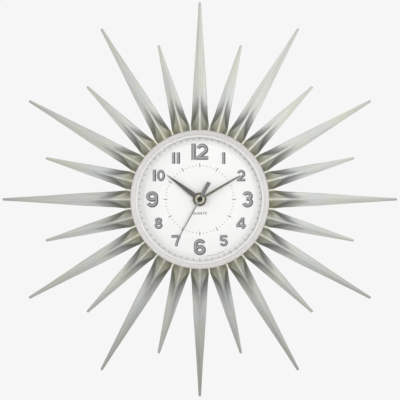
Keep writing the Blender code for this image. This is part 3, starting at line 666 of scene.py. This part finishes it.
def bell(value, centre, width):
    """A smooth bump of height 1."""
    return math.exp(-(((value - centre) / width) ** 2))


def pitch_half(radius):
    """Half of a ray's share of the circle, less half of the gap between neighbours."""
    return radius * math.tan(HALF_PITCH) - HALF_GAP


def ray_half_width(radius, tip_r):
    """The ray fills its share up to the shoulder, then tapers, with a slight waist where the petal ends."""
    left = max((tip_r - radius) / (tip_r - SHOULDER_R), 0.0)
    waist = 0.35 * bell(radius, 108.0, 14.0) + 0.5 * bell(radius, 91.0, 10.0)
    taper = TIP_HALF + (pitch_half(SHOULDER_R) - TIP_HALF) * left**1.12 - waist
    return min(pitch_half(radius), taper)


def flank_slopes(radius):
    """How steep the flank is at its crease and at its edge. Both ease off along the blade, the edge first."""
    crease = 0.80 - 0.72 * ease((radius - 82.0) / 44.0) ** 0.85
    edge = 0.78 - 0.71 * ease((radius - 79.0) / 34.0) ** 0.9
    return crease, edge


def ray_rows(radius, tip_r):
    """Half the section, as (across, depth) points from the ridge outwards. The crease is the eighth."""
    half = ray_half_width(radius, tip_r)
    edge = ROOT_EDGE - EDGE_FALL * (radius - RAY_ROOT_R) / (tip_r - RAY_ROOT_R)
    steep, mild = flank_slopes(radius)
    ridge = min(RIDGE_HALF, half * 0.3)
    past = radius - PETAL_END_R
    if past < 0:
        gone = max((radius - PETAL_START_R) / (PETAL_END_R - PETAL_START_R), 0.0)
        petal = 1.0 - (0.35 * ease(gone) + 0.65 * gone)
        crease = ridge + 0.2 + (half * 0.93 - ridge - 0.2) * petal
        inside = PETAL_SLOPE
    else:
        crease = min(ridge + 0.2 + half * 0.3 * ease(past / 18.0), half * 0.6)
        inside = PETAL_SLOPE + (steep - PETAL_SLOPE) * ease(past / 8.0)
    foot = edge + (half - crease) * (steep + mild) / 2
    belly = ROOT_BELLY * (1.0 - ease((radius - RAY_ROOT_R) / 12.0))
    crest = foot + (crease - ridge) * (inside + belly / 2)
    rows = [(0.0, crest + 0.02), (ridge * 0.6, crest + 0.017), (ridge, crest)]
    for t in (0.18, 0.45, 0.75, 0.93):
        fall = (crease - ridge) * (inside * t + belly * t * t / 2)
        rows.append((ridge + (crease - ridge) * t, crest - fall))
    rows.append((crease, foot))
    for t in (0.08, 0.3, 0.55, 0.8, 0.94):
        fall = (half - crease) * (steep * t + (mild - steep) * t * t / 2)
        rows.append((crease + (half - crease) * t, foot - fall))
    rows += [(half - 0.05, edge - 0.10), (half, edge - 0.4), (half, RAY_BACK + 0.3), (half - 0.3, RAY_BACK)]
    rows += [(half - 0.9, RAY_BACK), (half - 1.1, RAY_BACK + 0.25), (half - 1.2, RAY_BACK + 0.9)]
    return rows


def ray_stations(tip_r):
    """Where the ray's sections stand: close together along the petal, wider apart along the blade."""
    radii = [RAY_ROOT_R, 74.2, 75.4, 76.6]
    while radii[-1] < PETAL_END_R - 1.2:
        radii.append(radii[-1] + 1.4)
    radii += [PETAL_END_R - 0.5, PETAL_END_R, PETAL_END_R + 1.0]
    while radii[-1] < tip_r - 6.0:
        radii.append(radii[-1] + 3.0)
    return radii + [tip_r - 3.2, tip_r - 2.0, tip_r - TIP_ROUND]


def ray_mesh(name, tip_r):
    """The blade and the petal, with a shallow recess moulded into the back."""
    radii = ray_stations(tip_r)
    mesh = bpy.data.meshes.new(name)
    bm = bmesh.new()
    rings = []

    def ring(radius, section):
        left = [(-x, depth) for x, depth in reversed(section[1:])]
        points = left + section + [(0.0, section[-1][1])]
        rings.append([bm.verts.new(Vector((x, radius, depth)) * MM) for x, depth in points])

    for radius in radii:
        ring(radius, ray_rows(radius, tip_r))
    last = ray_rows(radii[-1], tip_r)
    for step, shrink in ((0.4, 0.93), (0.8, 0.74), (1.05, 0.5), (TIP_ROUND, 0.2)):
        drop = 0.9 + 0.1 * shrink
        ring(radii[-1] + step, [(x * shrink, RAY_BACK + (depth - RAY_BACK) * drop) for x, depth in last])
    bridge(bm, rings)
    grain = bm.loops.layers.uv.new("brushed")
    for face in bm.faces:
        face.smooth = True
        for corner in face.loops:
            corner[grain].uv = corner.vert.co.xy
    for edge in bm.edges:
        edge.smooth = edge.calc_face_angle(0.0) < math.radians(14)
    top = len(last) - 1
    bm.faces.ensure_lookup_table()
    # Faces along the ridge take the second material, the one with the painted highlight.
    for row in range(len(rings) - 1):
        for column in range(top - 1, top + 3):
            bm.faces[row * len(rings[0]) + column].material_index = 1
    for radius, a, b in zip(radii, rings, rings[1:]):
        if radius < CRISP_RIDGE_R:
            for column in (top - 2, top + 2):
                bm.edges.get((a[column], b[column])).smooth = False
    bm.to_mesh(mesh)
    bm.free()
    mesh.transform(FACE_ON)
    mesh.materials.append(RAY)
    mesh.materials.append(RIDGE_LOOK)
    return mesh


def tongue_piece(name):
    """The hooked tongue that the clamp ring holds."""
    outline = [(56.0, 9.2, 0.3), (58.0, 9.2, 0.3), (58.0, 12.0, 0.4), (73.3, 12.0, 0)]
    outline += [(73.3, 15.0, 0), (56.0, 15.0, 0.4)]
    return plate(name, [fillet(outline, steps=2)], -5.5, 5.5, RAY, 0.25, LENGTHWISE)


for kind, tip, first in (("long", LONG_R, 0.0), ("short", SHORT_R, 15.0)):
    blade_shape = ray_mesh(f"ray_{kind}_mesh", tip)
    tongue = tongue_piece(f"tongue_{kind}")
    for k in range(12):
        turn = Matrix.Rotation(math.radians(first + 30.0 * k), 4, "Y")
        blade, root = blade_shape.copy(), tongue.data.copy()
        blade.transform(turn)
        root.transform(turn)
        for corner in blade.uv_layers["brushed"].data:
            corner.uv.x += tip * MM * (k + 1)
        place(object_from(f"blade_{kind}_{k:02d}", blade), "clock", "ray_champagne", f"ray_{kind}_{k:02d}")
        place(object_from(f"root_{kind}_{k:02d}", root), "clock", "ray_champagne")
    bpy.data.objects.remove(tongue, do_unlink=True)

# ---------------------------------------------------------------- bezel, lens, track and dial
bezel_profile = fillet(
    [
        (66.85, 26.6, 0.2),
        (67.6, 27.0, 0.5),
        (68.6, BEZEL_TOP, 0.8),
        (69.8, 26.65, 0.7),
        (70.3, 25.8, 0.3),
        (70.7, 25.6, 0.2),
        (73.0, 24.3, 0.5),
        (73.3, 23.8, 0.15),
        (73.7, 23.75, 0.15),
        (74.8, 22.8, 0.8),
        (BEZEL_R, 20.6, 1.2),
        (BEZEL_R, 18.6, 1.0),
        (74.3, BEZEL_BACK, 0.4),
        (69.3, BEZEL_BACK, 0.3),
        (69.3, 23.3, 0.0),
        (68.5, 23.3, 0.0),
        (68.5, 25.3, 0.0),
        (66.85, 25.3, 0.15),
    ],
    steps=5,
)
place(lathe("bezel", bezel_profile, BEZEL, 200, angle=40), "clock", "bezel_pearl", "bezel_ring")

DOME_RISE, LENS_THICK = 7.0, 1.5


def dome(radius, top):
    """One face of the domed lens, from its middle outwards."""
    return [(radius * k / 24, top - DOME_RISE * (k / 24) ** 2) for k in range(25)]


lens_profile = dome(66.6, LENS_APEX)
lens_profile += [(66.85, 25.8), (67.0, 25.4), (67.05, 25.05), (LENS_R - 0.2, 25.0), (LENS_R, 24.8)]
lens_profile += [(LENS_R, LENS_SEAT), (65.2, LENS_SEAT), (65.1, 24.2)]
lens_profile += reversed(dome(64.9, LENS_APEX - LENS_THICK))
place(lathe("lens_dome", lens_profile, LENS, 160, angle=50), "clock", "lens_clear", "lens")

TRACK_IN, TRACK_OUT, TRACK_LIP = 60.6, TRACK_W / 2, TRACK_BACK - 0.12
TRACK_RISE = 1.95


def track_depth(radius):
    """The dished face of the minute track, flat at the dial and rising ever faster towards the bezel."""
    share = min(max((radius - TRACK_IN) / (TRACK_OUT - 0.4 - TRACK_IN), 0.0), 1.0)
    return TRACK_LIP + TRACK_RISE * (0.5 * share**2 + 0.5 * share**3)


track_profile = [(TRACK_OUT, TRACK_LIP + TRACK_RISE - 0.1), (TRACK_OUT, TRACK_BACK), (62.2, TRACK_BACK)]
track_profile += [(62.2, TRACK_LIP - 0.1), (TRACK_IN, TRACK_LIP - 0.1)]
for k in range(16):
    track_profile.append((TRACK_IN + 0.4 * k, track_depth(TRACK_IN + 0.4 * k)))
track_profile.append((TRACK_OUT - 0.15, TRACK_LIP + TRACK_RISE))
place(lathe("minute_track", track_profile, TRACK, 200), "clock", "track_pearl", "dial_flange")

dial_profile = [(DIAL_R, DIAL_FRONT, 0.15), (DIAL_R, DIAL_BACK, 0.1)]
dial_profile += [(4.3, DIAL_BACK, 0), (4.3, DIAL_FRONT, 0.1)]
place(lathe("dial", fillet(dial_profile, steps=2), DIAL, 160), "clock", "dial_white", "dial_plate")


def bar_corners(radius_in, radius_out, width, angle):
    """The corners of a bar that lies along a radius, in order round it from its inner end."""
    lead, side = Vector(polar(1.0, angle)), Vector(polar(width / 2, angle + 90.0))
    inner, outer = lead * radius_in, lead * radius_out
    return [inner - side, outer - side, outer + side, inner + side]


def sloped_bar(radius_in, radius_out, width, angle):
    """A printed bar on the minute track's slope."""
    spots = bar_corners(radius_in, radius_out, width, angle)
    depths = [track_depth(reach) for reach in (radius_in, radius_out, radius_out, radius_in)]
    faces = [[(*spot, depth + lift) for spot, depth in zip(spots, depths)] for lift in (-0.05, 0.06)]
    return loft("mark", faces, TRACK_INK)


INK_LOW, INK_HIGH = DIAL_FRONT - 0.02, DIAL_FRONT + 0.05
marks, ticks, dots = [], [], []
for k in range(60):
    on_hour = k % 5 == 0
    marks.append(sloped_bar(64.0, 66.6, 1.9 if on_hour else 1.5, 6.0 * k))
    if on_hour:
        ticks.append(plate("tick", [bar_corners(34.9, 39.1, 1.15, 6.0 * k)], INK_LOW, INK_HIGH, TICK))
    else:
        dots.append(plate("dot", [ring_of(0.58, 10, polar(36.6, 6.0 * k))], INK_LOW, INK_HIGH, SOFT_TICK))
place(merged("minute_marks", marks), "clock", "dial_white")
place(merged("inner_ticks", ticks), "clock", "dial_white")
place(merged("inner_dots", dots), "clock", "dial_white")


def printed_word(name, text, height, centre, look):
    """A short generic word, widely spaced, in ink that stands just proud of the dial."""
    curve = bpy.data.curves.new(name, "FONT")
    curve.body = text
    curve.align_x = "CENTER"
    curve.size = 20.0 * MM
    curve.space_character = 1.45
    curve.offset = 1.0 * MM
    curve.extrude = 0.02 * MM
    curve.resolution_u = 8
    obj = bpy.data.objects.new(name, curve)
    bpy.context.scene.collection.objects.link(obj)
    obj = applied(obj)
    tidy(obj.data)
    points = [v.co for v in obj.data.vertices]
    low = Vector([min(p[i] for p in points) for i in range(3)])
    high = Vector([max(p[i] for p in points) for i in range(3)])
    scale = height * MM / (high.y - low.y)
    size = Matrix.Diagonal((scale, scale, 0.05 * MM / (high.z - low.z), 1.0))
    middle_low = Vector(((low.x + high.x) / 2, (low.y + high.y) / 2, low.z))
    spot = Matrix.Translation(Vector((*centre, DIAL_FRONT)) * MM)
    obj.data.transform(FACE_ON @ spot @ size @ Matrix.Translation(-middle_low))
    obj.data.materials.clear()
    obj.data.materials.append(look)
    return shade(obj, 25)


NUMERAL_R = 51.6
BIG, SMALL = 17.6, 12.5  # heights of the quarters and of the other hours
STROKE = 0.235  # of a numeral's height
RAISED = 0.45


def arc(centre, radii, start, end, steps=30):
    """Points along part of an ellipse, its angles counterclockwise from the right."""
    turns = [math.radians(start + (end - start) * k / steps) for k in range(steps + 1)]
    return [(centre[0] + radii[0] * math.cos(t), centre[1] + radii[1] * math.sin(t)) for t in turns]


def digit_paths():
    """Each digit's centre lines in a box one unit high, x from its middle. True marks a closed line."""
    edge = STROKE / 2
    six = [
        (arc((0.0, 0.64), (0.255, 0.245), 22, 180) + [(-0.255, 0.32)], False),
        (arc((0.0, 0.32), (0.255, 0.205), 0, 340, 30), True),
    ]
    return {
        "0": [(arc((0.0, 0.5), (0.245, 0.385), 0, 350, 35), True)],
        "1": [([(0.0, 0.0), (0.0, 1.0)], False)],
        "2": [
            (arc((0.0, 0.64), (0.25, 0.245), 168, -38) + [(-0.17, 0.2), (-0.25, 0.12)], False),
            ([(-0.37, edge), (0.37, edge)], False),
        ],
        "3": [
            (arc((0.0, 0.71), (0.215, 0.175), 166, -90) + [(-0.07, 0.535)], False),
            ([(-0.07, 0.535)] + arc((0.0, 0.325), (0.23, 0.21), 90, -166), False),
        ],
        "4": [
            ([(0.17, 0.0), (0.17, 1.0)], False),
            ([(-0.43, 0.28), (0.42, 0.28)], False),
            ([(-0.37, 0.3), (0.12, 0.93)], False),
        ],
        "5": [
            ([(-0.29, 1 - edge), (0.33, 1 - edge)], False),
            ([(-0.2, 0.95), (-0.24, 0.47)], False),
            (arc((0.0, 0.335), (0.25, 0.22), 140, -164), False),
        ],
        "6": six,
        "7": [
            ([(-0.4, 1 - edge), (0.4, 1 - edge)], False),
            ([(0.31, 0.92), (0.2, 0.68), (0.1, 0.42), (0.04, 0.2), (0.02, 0.0)], False),
        ],
        "8": [
            (arc((0.0, 0.73), (0.2, 0.155), 0, 345, 24), True),
            (arc((0.0, 0.3), (0.235, 0.185), 0, 345, 24), True),
        ],
        "9": [([(-x, 1 - y) for x, y in path], closed) for path, closed in six],
    }


def stroke(path, closed, width, corner, scale, sunk):
    """A raised, chamfered line along a path on the dial, sunk a hair to pass under the stroke before it."""
    points = [Vector((corner[0] + x * scale, corner[1] + y * scale)) for x, y in path]
    top, shoulder = RAISED - sunk, 0.08 - sunk
    outline = ((-0.5, -0.05), (-0.5, shoulder), (-0.16, top), (0.16, top), (0.5, shoulder), (0.5, -0.05))
    sections = []
    count = len(points)
    for k, here in enumerate(points):
        before = points[k - 1] if k or closed else here
        after = points[(k + 1) % count] if k < count - 1 or closed else here
        into = (here - before).normalized() if here != before else (after - here).normalized()
        out = (after - here).normalized() if here != after else into
        along = (into + out).normalized()
        side = Vector((along.y, -along.x)) * width / max(along.dot(into), 0.5)
        sections.append([(*(here + side * off), DIAL_FRONT + lift) for off, lift in outline])
    return loft("stroke", sections, NUMERAL, closed)


def numerals():
    """The twelve hours, the quarters larger, their digits spaced as listed."""
    paths = digit_paths()
    pairs = {
        10: (("1", -4.5), ("0", 2.6)),
        11: (("1", -2.55), ("1", 2.55)),
        12: (("1", -6.75), ("2", 2.6)),
    }
    for hour in range(1, 13):
        tall = BIG if hour % 3 == 0 else SMALL
        x, y = polar(NUMERAL_R, 30.0 * hour)
        strokes = []
        for digit, shift in pairs.get(hour, ((str(hour), 0.0),)):
            width = STROKE * tall * (1.22 if digit == "1" else 1.0)
            for order, (path, closed) in enumerate(paths[digit]):
                corner = (x + shift, y - tall / 2)
                strokes.append(stroke(path, closed, width, corner, tall, 0.02 * order))
        place(shade(merged(f"numeral_{hour:02d}", strokes), 8), "clock", "dial_white")


def ring_line(name, radius, start, end, width, look):
    """A printed hairline round part of the track."""
    sections = []
    for k in range(25):
        section = []
        for off, lift in ((-0.5, -0.04), (-0.5, 0.05), (0.5, 0.05), (0.5, -0.04)):
            reach = radius + off * width
            section.append((*polar(reach, start + (end - start) * k / 24), track_depth(reach) + lift))
        sections.append(section)
    return loft(name, sections, look)


numerals()
place(ring_line("dial_hairline", 61.9, 155.0, 173.0, 0.55, TICK), "clock", "dial_white")
place(printed_word("dial_word", "QUARTZ", 2.8, (0.0, -15.3), WORD_INK), "clock", "dial_white")


# ---------------------------------------------------------------- hands
def blade_hand(name, stations, angle, low, thick, crown, look):
    """A pressed hand with a ridge down its middle, from (reach, half width) stations along it."""
    lead, side = Vector(polar(1.0, angle)), Vector(polar(1.0, angle + 90.0))
    top = low + thick
    sections = []
    for reach, half in stations:
        ridge = top + crown * min(half / 1.2, 1.0)
        outline = ((-half, low), (-half, top), (0.0, ridge), (half, top), (half, low))
        sections.append([(*(lead * reach + side * off), depth) for off, depth in outline])
    return loft(name, sections, look)


def turned_hub(name, base, profile, look, steps):
    """A turned hub, its (radius, height, rounding) points measured from the depth of its underside."""
    points = [(radius, base + height, soft) for radius, height, soft in profile]
    return lathe(name, fillet(points, steps=3), look, steps)


def pointing(node):
    """The dial angle of a hand and how far it reaches, from the far end of its CAD solid."""
    end = max((v.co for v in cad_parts[node].data.vertices), key=lambda c: c.x**2 + c.z**2)
    return math.degrees(math.atan2(end.x, end.z)), math.hypot(end.x, end.z) / MM


angle, reach = pointing("hour_hand")
hub = [(7.2, 0.55, 0.25), (7.2, 0.0, 0.1), (2.85, 0.0, 0), (2.85, 0.8, 0), (5.9, 0.95, 0.1), (6.4, 0.9, 0.2)]
stations = [(5.6, 2.4), (9.0, 2.55), (16.0, 2.3), (24.0, 1.8), (34.0, 1.1)]
stations += [(reach - 0.8, 0.32), (reach, 0.12)]
place(turned_hub("hour_hub", HUB_DEPTH, hub, HUB_RIM, 64), "hour_train", "hand_grey")
blade = blade_hand("hour_blade", stations, angle, HUB_DEPTH + 0.05, 0.1, 0.9, HOUR)
place(blade, "hour_train", "hand_grey", "hour_hand")

angle, reach = pointing("minute_hand")
hub = [(5.6, 0.35, 0.25), (5.6, 0.0, 0.1), (1.9, 0.0, 0), (1.9, 0.8, 0)]
hub += [(3.4, 0.8, 0.15), (4.0, 0.6, 0.2), (5.0, 0.6, 0.2)]
stations = [(4.3, 1.3), (8.0, 1.4), (20.0, 1.35), (35.0, 1.1), (46.0, 0.8)]
stations += [(reach - 0.6, 0.5), (reach, 0.2)]
place(turned_hub("minute_hub", MINUTE_DEPTH, hub, HUB_OLIVE, 56), "minute_train", "hand_olive")
blade = blade_hand("minute_blade", stations, angle, MINUTE_DEPTH + 0.05, 0.15, 0.6, MINUTE)
place(blade, "minute_train", "hand_olive", "minute_hand")

angle, reach = pointing("second_hand")
cap = [(0.0, 1.7, 0), (1.6, 1.65, 0), (2.4, 1.35, 0), (2.75, 0.8, 0), (2.8, 0.0, 0)]
cap += [(0.8, 0.0, 0), (0.8, 1.0, 0), (0.0, 1.0, 0)]
place(turned_hub("second_cap", SECOND_DEPTH, cap, HUB_BLACK, 48), "second_train", "hand_second")
stations = [(2.2, 0.95), (10.0, 0.93), (30.0, 0.8), (reach - 0.5, 0.62), (reach, 0.4)]
needle = blade_hand("second_needle", stations, angle, SECOND_DEPTH + 0.05, 0.3, 0.18, SECOND)
place(needle, "second_train", "hand_second", "second_hand")
stations = [(2.2, 1.7), (8.0, 1.9), (20.6, 2.2), (21.0, 2.1)]
tail = blade_hand("second_tail", stations, angle + 180.0, SECOND_DEPTH + 0.05, 0.35, 0.1, TAIL)
place(tail, "second_train", "hand_second")


# ---------------------------------------------------------------- rear
def radial(angle):
    """Turns a flat drawing of (radius, depth) into the plane through the axis at a dial angle."""
    across, up = polar(1.0, angle)
    return Matrix(((across, 0, up, 0), (up, 0, -across, 0), (0, 1, 0, 0), (0, 0, 0, 1)))


def rounded(x0, y0, x1, y1, radius):
    """A rectangle with rounded corners."""
    return fillet([(x0, y0, radius), (x1, y0, radius), (x1, y1, radius), (x0, y1, radius)])


def raised_ring(inner, outer, face, height, look, steps, centre=(0.0, 0.0), taper=0.0):
    """A low ring on a rear face, sunk a little into it, its sides sloped by a taper."""
    foot, crest = face + 0.1, face - height
    profile = [(inner, foot), (inner + taper, crest), (outer - taper, crest), (outer, foot)]
    return lathe("ring", profile, look, steps, centre)


def curved_arrow(radius, width, start, end, centre):
    """The outline of an arrow bent round a centre, clockwise: an arc of a flat ring with a pointed head."""
    angles = [start + (end - start) * k / 20 for k in range(21)]
    outer = [polar(radius + width / 2, a, centre) for a in angles]
    inner = [polar(radius - width / 2, a, centre) for a in reversed(angles)]
    barb, tip = width * 1.4, polar(radius, end + 14.0, centre)
    return outer + [polar(radius + barb, end, centre), tip, polar(radius - barb, end, centre)] + inner


CORE_IN_R, WEB_BACK = 52.0, 17.7  # the drum's inner wall, and the back of the web that carries the dial
gusset = [(44.5, WEB_BACK + 0.1), (CORE_IN_R + 0.1, WEB_BACK + 0.1)]
gusset += [(CORE_IN_R + 0.1, 6.0), (CORE_IN_R - 1.0, 6.0)]
ribs = []
for k in range(12):
    ribs.append(plate("rib", [gusset], -0.6, 0.6, CASE, 0.15, radial(15.0 + 30.0 * k)))
    ribs.append(raised_ring(1.2, 1.7, WEB_BACK, 0.12, CASE, 20, polar(47.5, 7.5 + 30.0 * k)))
ribs.append(raised_ring(40.9, 41.9, WEB_BACK, 0.5, CASE, 96))
place(shade(merged("case_ribs", ribs)), "clock", "case_abs")

CLAMP_BACK = span("ray_clamp_ring")[1]
beads = []
for radius in (60.2, 68.4):
    beads.append(raised_ring(radius - 0.6, radius + 0.6, CLAMP_BACK, 0.3, CLAMP, 128, taper=0.2))
for k in range(1, 5):
    beads.append(raised_ring(3.1, 3.9, CLAMP_BACK, 0.5, CLAMP, 32, middle(f"clamp_screw_{k}"), 0.1))
place(shade(merged("clamp_beads", beads)), "clock", "clamp_black")

KNOB_AT, KNOB_BACK = middle("setting_knob"), span("setting_knob")[1]
knob_x, knob_y = KNOB_AT
grip = [raised_ring(5.4, 6.3, KNOB_BACK, 0.25, KNOB, 48, KNOB_AT, 0.1)]
wing = rounded(knob_x - 4.6, knob_y - 0.9, knob_x + 4.6, knob_y + 0.9, 0.8)
grip.append(plate("wing", [wing], KNOB_BACK - 0.3, KNOB_BACK + 0.1, KNOB, 0.12))
place(shade(merged("knob_grip", grip)), "motion_train", "knob_white")

COVER_BACK = span("movement_cover")[1]
arrows = []
for start in (20.0, 200.0):
    bent = curved_arrow(10.0, 0.7, start, start + 70.0, KNOB_AT)
    arrows.append(plate("arrow", [bent], COVER_BACK - 0.04, COVER_BACK + 0.02, PAPER))
place(merged("set_arrows", arrows), "clock", "movement_black")
paper = rounded(-23.5, 12.0, -3.5, 22.5, 1.0)
label = plate("movement_label", [paper], COVER_BACK - 0.05, COVER_BACK + 0.02, PAPER)
place(label, "clock", "movement_black")
CELL_SIGN = (
    [rounded(-20.5, 15.0, -7.5, 19.5, 0.5), rounded(-20.1, 15.4, -7.9, 19.1, 0.3)],  # outline
    [rounded(-7.6, 16.3, -6.6, 18.2, 0.2)],  # button
    [rounded(-18.9, 17.1, -16.7, 17.4, 0.1)],  # minus
    [rounded(-11.1, 17.1, -8.9, 17.4, 0.1)],  # plus, its level bar
    [rounded(-10.15, 16.15, -9.85, 18.35, 0.1)],  # plus, its upright bar
)
ink = [plate("ink", loops, COVER_BACK - 0.07, COVER_BACK - 0.03, HUB_BLACK) for loops in CELL_SIGN]
place(merged("label_print", ink), "clock", "movement_black")

low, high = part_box("battery")
cell_mid = Vector((0.0, (low[2] + high[2]) / 2, -(low[1] + high[1]) / 2))
CELL_R = (high[2] - low[2]) / 2 / MM
CELL_LOW, CELL_HIGH = low[0] / MM, high[0] / MM
LYING = Matrix.Translation(cell_mid) @ LENGTHWISE


def along_cell(name, profile, look, *nodes):
    """A turned piece of the battery, from (radius, place along it) points."""
    outline = fillet([(*point, 0.25) for point in profile], steps=3)
    place(lathe(name, outline, look, 56, matrix=LYING), "battery_cell", "battery_jacket", *nodes)


NECK, BAND_AT = CELL_HIGH - 1.3, CELL_HIGH - 13.0
jacket = [(0.0, CELL_LOW + 0.5), (6.2, CELL_LOW + 0.5), (6.4, CELL_LOW), (6.9, CELL_LOW)]
jacket += [(CELL_R, CELL_LOW + 0.6), (CELL_R, BAND_AT), (0.0, BAND_AT)]
along_cell("cell_jacket", jacket, JACKET, "battery")
band = [(0.0, BAND_AT), (CELL_R, BAND_AT), (CELL_R, NECK - 0.6), (6.9, NECK)]
band += [(6.3, NECK), (6.1, NECK - 0.4), (0.0, NECK - 0.4)]
along_cell("cell_band", band, BAND)
base = [(0.0, CELL_LOW + 0.15), (5.8, CELL_LOW + 0.15), (6.1, CELL_LOW + 0.6), (0.0, CELL_LOW + 0.6)]
along_cell("cell_base", base, NICKEL)
button = [(0.0, CELL_HIGH), (2.3, CELL_HIGH), (2.6, CELL_HIGH - 0.4), (2.6, NECK - 0.1)]
button += [(5.8, NECK - 0.1), (5.9, NECK - 0.5), (0.0, NECK - 0.5)]
along_cell("cell_button", button, NICKEL)

# ---------------------------------------------------------------- carried-over nodes
KEPT = {
    CASE: ("case_body",),
    CLAMP: ("ray_clamp_ring",),
    ZINC: ("clamp_screw_1", "clamp_screw_2", "clamp_screw_3", "clamp_screw_4", "hanger", "dial_washer"),
    BRASS: ("fixing_nut",),
    BLACK: ("movement_case", "movement_cover", "chip"),
    STATOR: ("stator", "coil_core"),
    COPPER: ("coil",),
    BOARD: ("circuit_board",),
    NICKEL: ("crystal", "positive_contact", "negative_contact"),
    GEAR: ("second_wheel", "third_wheel", "centre_wheel", "motion_wheel", "hour_wheel", "intermediate_wheel"),
    MAGNET: ("rotor",),
    KNOB: ("setting_knob",),
}
for look, nodes in KEPT.items():
    for node in nodes:
        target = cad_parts[node]
        if not target.material_slots:
            target.data.materials.append(look)
        for slot in target.material_slots:
            slot.link = "OBJECT"
            slot.material = look

low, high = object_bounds()
